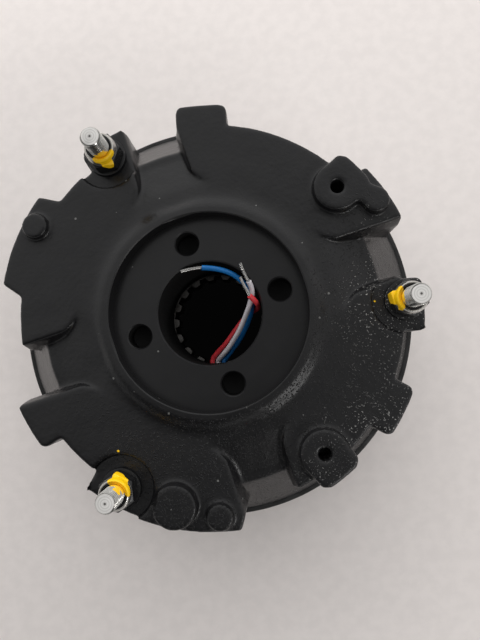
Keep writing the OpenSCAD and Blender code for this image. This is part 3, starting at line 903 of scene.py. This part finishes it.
SPRING = Finish("spring_wire", (0.34, 0.34, 0.345), (0.22, 0.22, 0.225), 0.34, 1.0, 0.02)
LINING = Finish("friction_lining", (0.085, 0.065, 0.045), (0.03, 0.024, 0.02), 0.85, 0.0, 0.16)
COPPER = WoundWire("copper_wire", (0.62, 0.25, 0.09), (0.40, 0.14, 0.05), 0.34, 1.0, 0.2)
BOBBIN = Finish("bobbin_plastic", (0.70, 0.66, 0.52), (0.58, 0.54, 0.42), 0.55, 0.0, 0.03)
POTTING = Finish("coil_potting", (0.05, 0.035, 0.028), (0.025, 0.02, 0.018), 0.35, 0.0, 0.06)
TINNED = Finish("tinned_strands", (0.74, 0.73, 0.71), (0.50, 0.49, 0.47), 0.30, 1.0, 0.02)
RED_SLEEVE = Finish("red_insulation", (0.74, 0.050, 0.062), (0.62, 0.034, 0.046), 0.42, 0.0, 0.02)
WHITE_SLEEVE = Finish("white_insulation", (0.80, 0.77, 0.80), (0.70, 0.66, 0.70), 0.42, 0.0, 0.02)
BLUE_SLEEVE = Finish("blue_insulation", (0.006, 0.175, 0.50), (0.004, 0.13, 0.40), 0.42, 0.0, 0.02)


class Paintbox:
    """Makes each finish's material once."""

    def __init__(self) -> None:
        """Build the shared effects."""
        self.effects = Effects()
        self.made: dict[str, bpy.types.Material] = {}

    def dress(self, obj: bpy.types.Object, finish: Finish) -> None:
        """Give an object one finish all over.

        Args:
            obj: a new piece or a node of the frame.
            finish: the finish.
        """
        if finish.name not in self.made:
            self.made[finish.name] = finish.material(self.effects)
        obj.data.materials.clear()
        obj.data.materials.append(self.made[finish.name])


# Pieces


def hand_over(obj: bpy.types.Object, name: str, degrees: float, paints: Paintbox, finish: Finish, body: Body,
              slot: Slot, node: str) -> None:
    """Shade, settle, dress and fit out a finished piece.

    Args:
        obj: the piece.
        name: its name.
        degrees: the angle of the edges that stay sharp.
        paints: the finishes made so far.
        finish: its finish.
        body: the body that it rides on.
        slot: passed on to fit_out, which does not use it.
        node: the node that it replaces.
    """
    shade(obj, degrees)
    settle(obj, name)
    paints.dress(obj, finish)
    fit_out(obj, body, slot, node)


@dataclass
class Viewpoint:
    """The camera, at the photograph's place and angle."""

    place: Point = (20.985, -17.058, 262.66)
    forward: Point = (-0.04617, 0.06927, -0.99653)
    up: Point = (0.06529, 0.99567, 0.06619)
    focal_px: float = 480.1
    frame_px: float = 640.0
    sensor_mm: float = 36.0

    def build(self) -> None:
        """Place the scene's camera."""
        forward = Vector(self.forward).normalized()
        right = forward.cross(Vector(self.up)).normalized()
        up = right.cross(forward)
        data = bpy.data.cameras.new("camera")
        data.sensor_fit = "VERTICAL"
        data.sensor_height = self.sensor_mm
        data.lens = self.focal_px * self.sensor_mm / self.frame_px
        data.clip_start = 0.01
        camera = bpy.data.objects.new("camera", data)
        turn = Matrix((right, up, -forward)).transposed().to_4x4()
        camera.matrix_world = Matrix.Translation(metres(self.place)) @ turn
        bpy.context.collection.objects.link(camera)
        bpy.context.scene.camera = camera


@dataclass
class Lead:
    """One insulated lead with an uninsulated end of tinned strands."""

    name: str
    side: float
    route: Sequence[Point]
    end_route: Sequence[Point]
    length: float
    finish: Finish
    slot: Slot
    diameter: float = 2.2
    strand_circle_r: float = 0.43
    strand_r: float = 0.21
    strands: int = 6
    twist_pitch: float = 7.0
    gland_face_y: float = -20.65

    def exit_point(self) -> Vector:
        """Return the point where the lead leaves the gland, in metres."""
        return metres((self.side, self.gland_face_y, GLAND_Z))

    def raised(self, route: Sequence[Point]) -> list[Vector]:
        """Return route points, given from the gland's height, in metres."""
        return [metres((x, y, z + GLAND_Z)) for x, y, z in route]

    def curve(self, name: str, points: Sequence[Vector], radius: float) -> bpy.types.Object:
        """Return a smooth round curve through points.

        Args:
            name: the object's name.
            points: the points in metres.
            radius: the section's radius in millimetres.

        Returns:
            A curve object of one open spline.
        """
        data = bpy.data.curves.new(name, "CURVE")
        data.dimensions = "3D"
        data.resolution_u = 6
        data.bevel_depth = radius * MM
        data.bevel_resolution = 5
        data.use_fill_caps = True
        spline = data.splines.new("BEZIER")
        spline.bezier_points.add(len(points) - 1)
        for knot, point in zip(spline.bezier_points, points):
            knot.co = point
            knot.handle_left_type = "AUTO"
            knot.handle_right_type = "AUTO"
        obj = bpy.data.objects.new(name, data)
        bpy.context.collection.objects.link(obj)
        return obj

    def bare_end(self) -> bpy.types.Object:
        """Return the twisted tinned strands past the insulation.

        Returns:
            One mesh object.
        """
        points = self.raised(self.end_route)
        steps = 8
        fine = [a.lerp(b, i / steps) for a, b in zip(points, points[1:]) for i in range(steps)] + [points[-1]]
        parts = [self.curve("core", points, self.strand_r)]
        for strand in range(self.strands):
            parts.append(self.curve("strand", self.twisted(fine, strand), self.strand_r))
        for part in parts:
            part.data.bevel_resolution = 2
            part.data.resolution_u = 2
            activate(part)
            bpy.ops.object.convert(target="MESH")
        ends = joined(self.name + "_strands", parts)
        shade(ends, 60)
        return ends

    def twisted(self, centre: Sequence[Vector], strand: int) -> list[Vector]:
        """Return one strand's line, turned round a centre line.

        Args:
            centre: the centre line in metres.
            strand: the strand's number.

        Returns:
            The strand's points in metres.
        """
        line, run = [], 0.0
        for i, point in enumerate(centre):
            after = centre[min(i + 1, len(centre) - 1)]
            before = centre[max(i - 1, 0)]
            along = (after - before).normalized()
            across = along.cross(Vector((0.0, 0.0, 1.0))).normalized()
            if i:
                run += (point - before).length / MM
            angle = FULL_TURN * (strand / self.strands + run / self.twist_pitch)
            reach = self.strand_circle_r * MM
            line.append(point + reach * (math.cos(angle) * across + math.sin(angle) * along.cross(across)))
        return line

    def build(self, paints: Paintbox) -> None:
        """Args:
            paints: the finishes.
        """
        ends = self.bare_end()
        paints.dress(ends, TINNED)
        fit_out(ends, Body.HOUSING, Slot.TINNED_COPPER, self.name + "_end")
        points = [self.exit_point()] + self.raised(self.route)
        sleeve = self.curve(self.name + "_sleeve", points, self.diameter / 2)
        paints.dress(sleeve, self.finish)
        fit_out(sleeve, Body.HOUSING, self.slot, self.name)


LEADS = (
    Lead("red_lead", -2.6,
         ((-2.6, -19.95, 0), (-2.35, -18.95, 0.05), (-1.2, -17.3, 0.5), (1, -15.1, 1.5), (3.9, -12.6, 3.1),
          (6.7, -9.4, 4.7), (9.5, -6.2, 6.2), (12.1, -3.3, 7.5), (14.5, -1.1, 8.6), (16.6, 0.3, 9.7),
          (18.3, 1, 11.3), (19.4, 1.5, 13.6), (19.7, 1.9, 16.4), (19.5, 2.6, 19.3), (18.8, 3.5, 21.8),
          (17.7, 4.6, 23.6), (16.5, 5.8, 24.8)),
         ((16.5, 5.8, 24.8), (15.7, 7.7, 25.3), (14.7, 9.7, 25.4), (13.9, 11.6, 25.5), (13.3, 13.4, 25.7)),
         48.6, RED_SLEEVE, Slot.LEAD_RED),
    Lead("white_lead", 0.0,
         ((0, -19.95, 0), (0.5, -19.1, 0.75), (2.2, -17.5, 2.4), (4.8, -15, 4.7), (7.2, -12.1, 6.8),
          (9.6, -9, 9.1), (11.8, -5.7, 11.7), (13.7, -2.2, 14.2), (15.3, 0.9, 16.5), (16.5, 3.6, 18.4),
          (17.3, 5.8, 20.1), (17.6, 7.8, 21.7), (17.3, 9.7, 23.2), (16.6, 11.6, 24.8)),
         ((16.6, 11.6, 24.8), (15.8, 12.8, 25.7), (15.1, 14.5, 26.8), (14.3, 16.5, 27.8), (13.7, 18.5, 28.7)),
         45.6, WHITE_SLEEVE, Slot.LEAD_WHITE),
    Lead("blue_lead", 2.6,
         ((2.6, -19.95, 0), (3.4, -19, 0.1), (5.1, -17.3, 1.3), (7.3, -14.6, 2.9), (9.9, -11.7, 4.9),
          (12.2, -8.5, 7), (14.2, -5.1, 9.3), (15.8, -1.8, 11.6), (16.8, 1.2, 13.6), (17.1, 3.8, 15.3),
          (17, 6.2, 16.6), (16.3, 8.6, 17.7), (15, 10.9, 18.8), (13.2, 13.1, 19.7), (11.1, 14.9, 20.5),
          (8.6, 16.4, 21.1), (5.5, 17.6, 21.7), (1.8, 18.4, 22.3), (-2.3, 18.9, 22.8)),
         ((-2.3, 18.9, 22.8), (-5.2, 18.6, 23.6), (-8, 18.1, 24.5), (-10.6, 17.4, 25.1)),
         61.6, BLUE_SLEEVE, Slot.LEAD_BLUE),
)


@dataclass
class Casting:
    """The painted magnet body: soft edges and an uneven skin where it is cast, crisp where it is cut."""

    voxel: float = 0.5
    rounds: int = 34
    collar_rounds: int = 150
    collar_reach_r: float = 54.0
    wave_mm: float = 0.24
    wave_size_mm: float = 9.0
    triangles: int = 180_000
    bore_r: float = 21.15
    counterbore_r: float = 39.65
    collar_z: float = 76.65
    above: float = 6.0
    inside_r: float = 66.0
    inside_z: float = 62.0
    spring_pocket_r: float = 6.8
    spring_pocket_z: float = 53.0
    cut_z: float = 44.6
    cut_fade: float = 3.4
    collar_foot_z: float = 68.5
    collar_fade: float = 4.0
    stud_hole_r: float = 4.3
    stud_hole_z: float = 40.3
    seat_r: float = 13.0
    rear_hole: tuple[float, float, float] = (9.0, 4.75, 0.5)
    tapped_hole: tuple[float, float, float] = (14.0, 2.5, 0.5)

    def plug(self) -> bpy.types.Object:
        """Return a plug that fills the counterbore while the casting is softened."""
        return spun_ring("plug", ((0.0, 56.0), (36.0, 56.0), (36.0, 60.0), (self.counterbore_r + 1.8, 60.0),
                                  (self.counterbore_r + 1.8, self.collar_z), (0.0, self.collar_z)))

    def softness(self, point: Vector) -> float:
        """Return how much casting has rounded a place.

        Args:
            point: the place in millimetres.

        Returns:
            A weight from 0, on the machined underside and inside, to 1.
        """
        inside = math.hypot(point.x, point.y) < self.inside_r and point.z < self.inside_z
        springs = (on_circle(SPRING_CIRCLE_R, angle) for angle in SPRING_ANGLES)
        in_pocket = point.z < self.spring_pocket_z and any(
            math.hypot(point.x - s.x, point.y - s.y) < self.spring_pocket_r for s in springs)
        if inside or in_pocket:
            return 0.0
        return min(1.0, max(0.0, (point.z - self.cut_z) / self.cut_fade))

    def collar_softness(self, point: Vector) -> float:
        """Return how much the collar's foot is run out, from 1 beside it to 0 on the faces.

        Args:
            point: the place in millimetres.

        Returns:
            A weight from 0 to 1.
        """
        if point.z < self.collar_foot_z:
            return 0.0
        reach = self.collar_reach_r - math.hypot(point.x, point.y)
        return min(1.0, max(0.0, reach / self.collar_fade))

    def weights(self, obj: bpy.types.Object, name: str, rule: Callable[[Vector], float]) -> str:
        """Weigh each corner of the casting by a rule.

        Args:
            obj: the remeshed casting.
            name: the vertex group's name.
            rule: gives the weight of a place in millimetres.

        Returns:
            The name of the vertex group.
        """
        group = obj.vertex_groups.new(name=name)
        steps = 10
        bins: dict[int, list[int]] = {}
        for vertex in obj.data.vertices:
            bins.setdefault(round(steps * rule(vertex.co / MM)), []).append(vertex.index)
        for level, corners in bins.items():
            group.add(corners, level / steps, "REPLACE")
        return group.name

    def drill(self, name: str, top: float, depth: float, radius: float, mouth: float) -> bpy.types.Object:
        """Return a drill with its point, widening above the mouth of its hole.

        Args:
            name: the object's name.
            top: the level of the hole's mouth.
            depth: the depth down to the drill point.
            radius: the hole's radius.
            mouth: the chamfer at the mouth.

        Returns:
            The drill on the Z axis.
        """
        foot = top - depth
        return spun_ring(name, ((0.0, foot - 0.6 * radius), (radius, foot), (radius, top - mouth),
                                (radius + mouth, top), (radius + mouth + self.above, top + self.above),
                                (0.0, top + self.above)), 64)

    def spot_facer(self) -> bpy.types.Object:
        """Return the cutter for a stud's hole and the seat round it.

        Returns:
            A closed ring on the Z axis.
        """
        seat, soft = self.seat_r, 0.35
        return spun_ring("spot_facer", (
            (0.0, self.stud_hole_z), (self.stud_hole_r, self.stud_hole_z), (self.stud_hole_r, SPOT_FACE_Z),
            (seat - soft, SPOT_FACE_Z), (seat, SPOT_FACE_Z + soft), (seat + 0.2, 73.0), (seat + 0.9, 73.9),
            (seat + 3.0, 76.0), (seat + 3.0, 90.0), (0.0, 90.0)), 96)

    def cut(self, body: bpy.types.Object, cutters: Sequence[bpy.types.Object]) -> None:
        """Cut several tools out of the casting at once.

        Args:
            body: the casting.
            cutters: tools that don't meet each other, which are removed.
        """
        tool = joined("tool", cutters)
        apply_modifier(body, "BOOLEAN", operation="DIFFERENCE", object=tool, solver="MANIFOLD")
        bpy.data.objects.remove(tool)

    def machine(self, body: bpy.types.Object) -> None:
        """Bore, counterbore, drill and spot face the casting.

        Args:
            body: the casting.
        """
        edge = 0.5
        self.cut(body, [spun_ring("boring_bar", (
            (0.0, 30.0), (self.bore_r, 30.0), (self.bore_r, FLOOR_Z - edge), (self.bore_r + edge, FLOOR_Z),
            (self.counterbore_r, FLOOR_Z), (self.counterbore_r, self.collar_z - edge),
            (self.counterbore_r + edge + 4.0, self.collar_z + 4.0), (0.0, self.collar_z + 4.0)), 128)])
        rear = self.drill("rear_drill", FLOOR_Z, *self.rear_hole)
        tapped = self.drill("tapping_drill", TAPPED_TOP_Z, *self.tapped_hole)
        facer = self.spot_facer()
        tools = [copied(rear, on_circle(REAR_CIRCLE_R, a)) for a in REAR_ANGLES]
        tools += [copied(tapped, on_circle(TAPPED_CIRCLE_R, a)) for a in TAPPED_ANGLES]
        tools += [copied(facer, stud_centre(a)) for a in STUD_ANGLES]
        for model in (rear, tapped, facer):
            bpy.data.objects.remove(model)
        self.cut(body, tools)

    def build(self, paints: Paintbox) -> None:
        """Make the casting from the node's shape.

        Args:
            paints: the finishes.
        """
        body = joined("casting", [copy_of_node("magnet_body", "casting"), self.plug()])
        apply_modifier(body, "REMESH", mode="VOXEL", voxel_size=self.voxel * MM, adaptivity=0.0)
        cast = self.weights(body, "cast", self.softness)
        collar = self.weights(body, "collar", self.collar_softness)
        apply_modifier(body, "SMOOTH", factor=0.5, iterations=self.rounds, vertex_group=cast)
        apply_modifier(body, "SMOOTH", factor=0.5, iterations=self.collar_rounds, vertex_group=collar)
        waves = bpy.data.textures.new("casting_waves", "CLOUDS")
        waves.noise_scale = self.wave_size_mm * MM
        waves.noise_depth = 2
        apply_modifier(body, "DISPLACE", texture=waves, texture_coords="LOCAL", strength=self.wave_mm * MM,
                       mid_level=0.5, vertex_group=cast)
        share = self.triangles / (2 * len(body.data.polygons))
        apply_modifier(body, "DECIMATE", decimate_type="COLLAPSE", ratio=min(share, 1.0))
        self.machine(body)
        hand_over(body, "magnet_casting", 42, paints, PAINT, Body.HOUSING, Slot.BLACK_PAINT, "magnet_body")


@dataclass
class ThreadedStuds:
    """Three studs with a cut thread above the nuts."""

    major_r: float = 4.0
    depth: float = 0.72
    pitch: float = 1.25
    low_z: float = 1.0
    thread_z: float = 71.5
    chamfer: float = 0.6
    around: int = 60
    rows_per_pitch: int = 8
    turns: Sequence[float] = (20.0, 95.0, 230.0)

    def radius(self, turn: float, z: float) -> float:
        """Return the thread's radius at an angle and a height.

        Args:
            turn: the angle as a share of a full turn.
            z: the height.

        Returns:
            The radius in millimetres.
        """
        phase = (z / self.pitch - turn) % 1.0
        tooth = min(1.0, max(0.0, 1.45 * (1.0 - abs(2.0 * phase - 1.0)) - 0.2))
        radius = self.major_r - self.depth * (1.0 - tooth)
        tip = self.major_r - self.chamfer + (STUD_TOP_Z - z)
        foot = self.major_r - self.chamfer + (z - self.low_z)
        return min(radius if z > self.thread_z else self.major_r, tip, foot)

    def levels(self) -> list[float]:
        """Return the heights of the rows, closer together on the thread.

        Returns:
            Heights from the foot up.
        """
        step = self.pitch / self.rows_per_pitch
        count = math.ceil((STUD_TOP_Z - self.thread_z) / step)
        thread = [STUD_TOP_Z - i * step for i in range(count)]
        return [self.low_z, self.low_z + self.chamfer, self.thread_z] + thread[::-1]

    def build(self, paints: Paintbox) -> None:
        """Roll a grid into one threaded stud and copy it to the three places.

        Args:
            paints: the finishes.
        """
        levels = self.levels()
        bpy.ops.object.select_all(action="DESELECT")
        bpy.ops.mesh.primitive_grid_add(x_subdivisions=self.around, y_subdivisions=len(levels) - 1, size=2.0)
        stud = bpy.context.active_object
        for vertex in stud.data.vertices:
            turn = (vertex.co.x + 1.0) / 2.0
            z = levels[round((vertex.co.y + 1.0) / 2.0 * (len(levels) - 1))]
            radius = self.radius(turn, z)
            vertex.co = metres((radius * math.cos(FULL_TURN * turn), radius * math.sin(FULL_TURN * turn), z))
        with editing(stud):
            bpy.ops.mesh.remove_doubles(threshold=0.001 * MM)
            bpy.ops.mesh.select_all(action="DESELECT")
            bpy.ops.mesh.select_non_manifold()
            bpy.ops.mesh.fill_holes(sides=0)
            bpy.ops.mesh.select_all(action="SELECT")
            bpy.ops.mesh.normals_make_consistent(inside=False)
        shade(stud, 40)
        studs = at_each_stud("threaded_studs", stud, self.turns)
        paints.dress(studs, STUD_ZINC)
        fit_out(studs, Body.HOUSING, Slot.ZINC, "studs")


@dataclass
class LockNuts:
    """Hexagon lock nuts with a rolled collar, their insert rings and the washers below."""

    across_flats: float = 13.0
    hex_h: float = 6.5
    collar_h: float = 3.0
    collar_r: float = 6.1
    insert_r: float = 5.3
    bore_r: float = 4.06
    washer_r: float = 8.0
    washer_bore_r: float = 4.3
    washer_t: float = 1.6
    edge: float = 0.18
    turns: Sequence[float] = (12.0, 38.0, 3.0)

    def hexagon(self) -> bpy.types.Object:
        """Return the chamfered and bored hexagon.

        Returns:
            A closed hexagon on the Z axis.
        """
        corner = self.across_flats / 2 / math.cos(math.pi / 6)
        bpy.ops.object.select_all(action="DESELECT")
        bpy.ops.mesh.primitive_cylinder_add(vertices=6, radius=corner * MM, depth=self.hex_h * MM,
                                            location=metres((0.0, 0.0, NUT_Z + self.hex_h / 2)))
        nut = settle(bpy.context.active_object, "hexagon")
        flat = self.across_flats / 2
        rise = 0.85 * (corner - flat)
        low, high = NUT_Z, NUT_Z + self.hex_h
        barrel = spun_ring("barrel", (
            (self.bore_r + 0.5, low - 0.01), (flat - 0.4, low - 0.01), (corner + 0.2, low + rise + 0.2),
            (corner + 0.2, high - rise - 0.2), (flat - 0.4, high + 0.01), (self.bore_r + 0.5, high + 0.01),
            (self.bore_r, high - 0.5), (self.bore_r, low + 0.5)))
        apply_modifier(nut, "BOOLEAN", operation="INTERSECT", object=barrel, solver="EXACT")
        bpy.data.objects.remove(barrel)
        apply_modifier(nut, "BEVEL", width=self.edge * MM, segments=2, limit_method="ANGLE",
                       angle_limit=math.radians(22))
        return nut

    def collar(self) -> bpy.types.Object:
        """Return the rolled collar on top of the hexagon.

        Returns:
            A closed ring on the Z axis.
        """
        low, high = NUT_Z + self.hex_h - 0.3, NUT_Z + self.hex_h + self.collar_h
        outer, inner = self.collar_r, self.insert_r
        return spun_ring("collar", (
            (inner, low), (outer + 0.25, low), (outer + 0.05, low + 0.7), (outer, low + 1.1),
            (outer, high - 1.0), (outer - 0.15, high - 0.5), (outer - 0.4, high - 0.15),
            (outer - 0.65, high), (inner - 0.15, high - 0.08), (inner - 0.3, high - 0.3),
            (inner, high - 0.6)))

    def insert(self) -> bpy.types.Object:
        """Return the insert ring inside the collar.

        Returns:
            A closed ring on the Z axis.
        """
        low, high = NUT_Z + self.hex_h, NUT_Z + self.hex_h + self.collar_h - 0.62
        outer = self.insert_r - 0.05
        return spun_ring("insert", (
            (self.bore_r, low), (outer, low), (outer, high), (self.bore_r + 0.4, high),
            (self.bore_r, high - 0.35)))

    def washer(self) -> bpy.types.Object:
        """Return the washer under the nut.

        Returns:
            A closed ring on the Z axis.
        """
        low, high, soft = SPOT_FACE_Z, SPOT_FACE_Z + self.washer_t, 0.25
        inner, outer = self.washer_bore_r, self.washer_r
        return spun_ring("washer", (
            (inner, low), (outer - soft, low), (outer, low + soft), (outer, high - 2 * soft),
            (outer - soft / 2, high - soft / 2), (outer - 2 * soft, high), (inner + soft, high),
            (inner, high - soft)))

    def build(self, paints: Paintbox) -> None:
        """Make the nuts, inserts and washers at the three studs.

        Args:
            paints: the finishes.
        """
        nut = joined("nut", [self.hexagon(), self.collar()])
        for model, degrees, name, finish, slot, node in (
                (nut, 35, "collar_nuts", NUT_ZINC, Slot.ZINC, "lock_nuts"),
                (self.insert(), 40, "insert_rings", INSERT, Slot.INSERT_PLASTIC, "nut_inserts"),
                (self.washer(), 40, "nut_washers", WASHER_PAINT, Slot.BLACK_PAINT, "stud_washers")):
            shade(model, degrees)
            pieces = at_each_stud(name, model, self.turns)
            paints.dress(pieces, finish)
            fit_out(pieces, Body.HOUSING, slot, node)


@dataclass
class SealStrip:
    """The rubber strip round the rim, with a lip at each edge."""

    inner_r: float = 86.1
    outer_r: float = 88.1
    low_z: float = 4.5
    high_z: float = 44.55
    lip: float = 0.5
    beads: Sequence[tuple[float, float]] = ((6.1, 8.9), (37.25, 40.05))
    bead_r: float = 84.7

    def build(self, paints: Paintbox) -> None:
        """Spin the strip's section.

        Args:
            paints: the finishes.
        """
        low, high, soft = self.low_z, self.high_z, self.lip
        outer, inner = self.outer_r, self.inner_r
        section = [(inner, low), (outer - soft, low), (outer, low + soft), (outer, low + 5.0),
                   (outer - soft, low + 5.6), (outer - soft, high - 5.6), (outer, high - 5.0),
                   (outer, high - soft), (outer - soft, high), (inner, high)]
        for bottom, top in reversed(self.beads):
            section += [(inner, top), (self.bead_r + 0.3, top), (self.bead_r, top - 0.3),
                        (self.bead_r, bottom + 0.3), (self.bead_r + 0.3, bottom), (inner, bottom)]
        strip = spun_ring("strip", section, 192)
        hand_over(strip, "rubber_seal_strip", 50, paints, RUBBER, Body.HOUSING, Slot.SEAL_RUBBER,
                  "sealing_strip")


@dataclass
class MachinedParts:
    """Turned parts that get broken edges."""

    edge: float = 0.35
    parts: Sequence[tuple[str, str, Finish, Body, Slot]] = (
        ("friction_plate", "bevelled_friction_plate", IRON, Body.HOUSING, Slot.FRICTION_IRON),
        ("pressure_plate", "bevelled_pressure_plate", STEEL, Body.PRESSURE_PLATE, Slot.PLATE_STEEL),
        ("disc_carrier", "bevelled_disc_carrier", CARRIER, Body.BRAKE_DISC, Slot.CARRIER_STEEL),
    )

    def build(self, paints: Paintbox) -> None:
        """Copy each part and break its edges.

        Args:
            paints: the finishes.
        """
        for node, name, finish, body, slot in self.parts:
            part = copy_of_node(node, name)
            with editing(part):
                bpy.ops.mesh.dissolve_limited(angle_limit=math.radians(0.5))
            apply_modifier(part, "BEVEL", width=self.edge * MM, segments=2, limit_method="ANGLE",
                           angle_limit=math.radians(50))
            hand_over(part, name, 30, paints, finish, body, slot, node)


@dataclass
class BrakeSprings:
    """Coil springs, which in the real brake give as the pressure plate is drawn in."""

    travel: float = 0.42

    def build(self, paints: Paintbox) -> None:
        """Copy the springs and give them a mesh of their own.

        Args:
            paints: the finishes.
        """
        name = "coiled_brake_springs"
        springs = copy_of_node("brake_springs", name)
        hand_over(springs, name, 60, paints, SPRING, Body.HOUSING, Slot.SPRING_STEEL, "brake_springs")
        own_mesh(springs)


@dataclass
class KeptNodes:
    """Nodes whose shape is right as it is."""

    finishes: dict[str, Finish] = field(default_factory=lambda: {
        "coil_bobbin": BOBBIN, "accelerator_winding": COPPER, "holding_winding": COPPER,
        "coil_potting": POTTING, "damping_plate": STEEL, "counter_springs": SPRING,
        "lead_gland": RUBBER, "rear_lining": LINING, "front_lining": LINING})

    def dress(self, paints: Paintbox) -> None:
        """Give each node its finish.

        Args:
            paints: the finishes.
        """
        for node, finish in self.finishes.items():
            paints.dress(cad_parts[node], finish)
            LOG.info("node %s in %s", node, finish.name)


@dataclass(frozen=True)
class Lamp:
    """A soft rectangular lamp, with places and sizes in metres."""

    name: str
    place: Point
    aim: Point
    size: tuple[float, float]
    watts: float
    mirrored: bool = True
    colour: Colour = (1.0, 0.99, 0.98)

    def hang(self) -> None:
        """Put the lamp in the scene."""
        data = bpy.data.lights.new(self.name, "AREA")
        data.shape = "RECTANGLE"
        data.size, data.size_y = self.size
        data.energy = self.watts
        data.color = self.colour
        lamp = bpy.data.objects.new(self.name, data)
        lamp.location = self.place
        lamp.rotation_euler = (Vector(self.aim) - Vector(self.place)).to_track_quat("-Z", "Y").to_euler()
        lamp.visible_glossy = self.mirrored
        bpy.context.collection.objects.link(lamp)


LAMPS = (
    Lamp("window", (-0.04, 0.58, 0.28), (0.0, 0.0, 0.03), (1.7, 0.46), 5.6, mirrored=False),
    Lamp("key", (0.36, -0.40, 0.42), (0.03, -0.02, 0.05), (0.36, 0.03), 0.9),
)


@dataclass
class Studio:
    """The floor, the lamps and the world."""

    floor_size: float = 6.0
    floor_colour: Colour = (0.84, 0.785, 0.76)
    opening_r: float = 26.0
    sky_level: float = 0.58
    sky_lean: float = 0.42
    sky_dark: float = 0.03
    overhead: float = 0.5
    backdrop: float = 0.6
    underside: float = 0.002
    front_y: tuple[float, float] = (-0.65, 0.0)
    zenith_z: tuple[float, float] = (0.955, 0.985)
    under_z: tuple[float, float] = (-0.1, 0.0)
    wall_z: tuple[float, float] = (0.24, 0.36)
    floor_grain: float = 160.0
    floor_roughness: float = 0.85

    def floor(self) -> None:
        """Lay the pale floor, with an opening under the bore."""
        bpy.ops.object.select_all(action="DESELECT")
        bpy.ops.mesh.primitive_circle_add(vertices=96, radius=self.opening_r * MM, location=(0, 0, 0))
        plane = bpy.context.active_object
        plane.name = "floor"
        with editing(plane):
            bpy.ops.mesh.extrude_region_move()
            wide = self.floor_size / 2 / (self.opening_r * MM)
            bpy.ops.transform.resize(value=(wide, wide, 1.0), center_override=(0.0, 0.0, 0.0))
        material = bpy.data.materials.new("pale_floor")
        material.use_nodes = True
        g = Graph(material.node_tree)
        shader = material.node_tree.nodes["Principled BSDF"]
        place = g.add("TexCoord").outputs["Object"]
        tone = g.ramp(g.noise(place, self.floor_grain, 6.0).outputs[0], 0.3, 0.7)
        dim = tuple(0.95 * c for c in self.floor_colour)
        g.feed(shader.inputs["Base Color"], g.mix(tone, dim, self.floor_colour))
        shader.inputs["Roughness"].default_value = self.floor_roughness
        plane.data.materials.append(material)

    def world(self) -> None:
        """Make the sky: paler towards +Y, dark towards -Y and overhead, over a pale wall all round."""
        world = bpy.data.worlds.new("studio")
        world.use_nodes = True
        bpy.context.scene.world = world
        g = Graph(world.node_tree)
        ray = g.add("TexCoord").outputs["Generated"]
        north, up = g.part(ray, "Y"), g.part(ray, "Z")
        lean = g.math("MULTIPLY_ADD", north, self.sky_lean, self.sky_level)
        front = g.ramp(north, *self.front_y, self.sky_dark, 1.0)
        above = g.ramp(up, *self.zenith_z, 1.0, self.overhead)
        below = g.ramp(up, *self.under_z, self.underside, 1.0)
        wall = g.ramp(up, *self.wall_z, self.backdrop, 0.0)
        level = g.math("MAXIMUM", g.math("MULTIPLY", g.math("MULTIPLY", lean, front), above), wall)
        g.feed(world.node_tree.nodes["Background"].inputs["Strength"], g.math("MULTIPLY", level, below))
        world.node_tree.nodes["Background"].inputs["Color"].default_value = (1.0, 1.0, 1.0, 1.0)

    def build(self) -> None:
        """Set up the floor, the lamps, the world and the view transform."""
        self.floor()
        for lamp in LAMPS:
            lamp.hang()
        self.world()
        bpy.context.scene.view_settings.view_transform = "Standard"


def main() -> None:
    """Build the view, the leads, the pieces and the studio, in that order."""
    logging.basicConfig(level=logging.INFO, format="%(name)s: %(message)s")
    Viewpoint().build()
    paints = Paintbox()
    for lead in LEADS:
        lead.build(paints)
    Casting().build(paints)
    ThreadedStuds().build(paints)
    LockNuts().build(paints)
    SealStrip().build(paints)
    MachinedParts().build(paints)
    BrakeSprings().build(paints)
    KeptNodes().dress(paints)
    Studio().build()


if __name__ == "__main__":
    main()
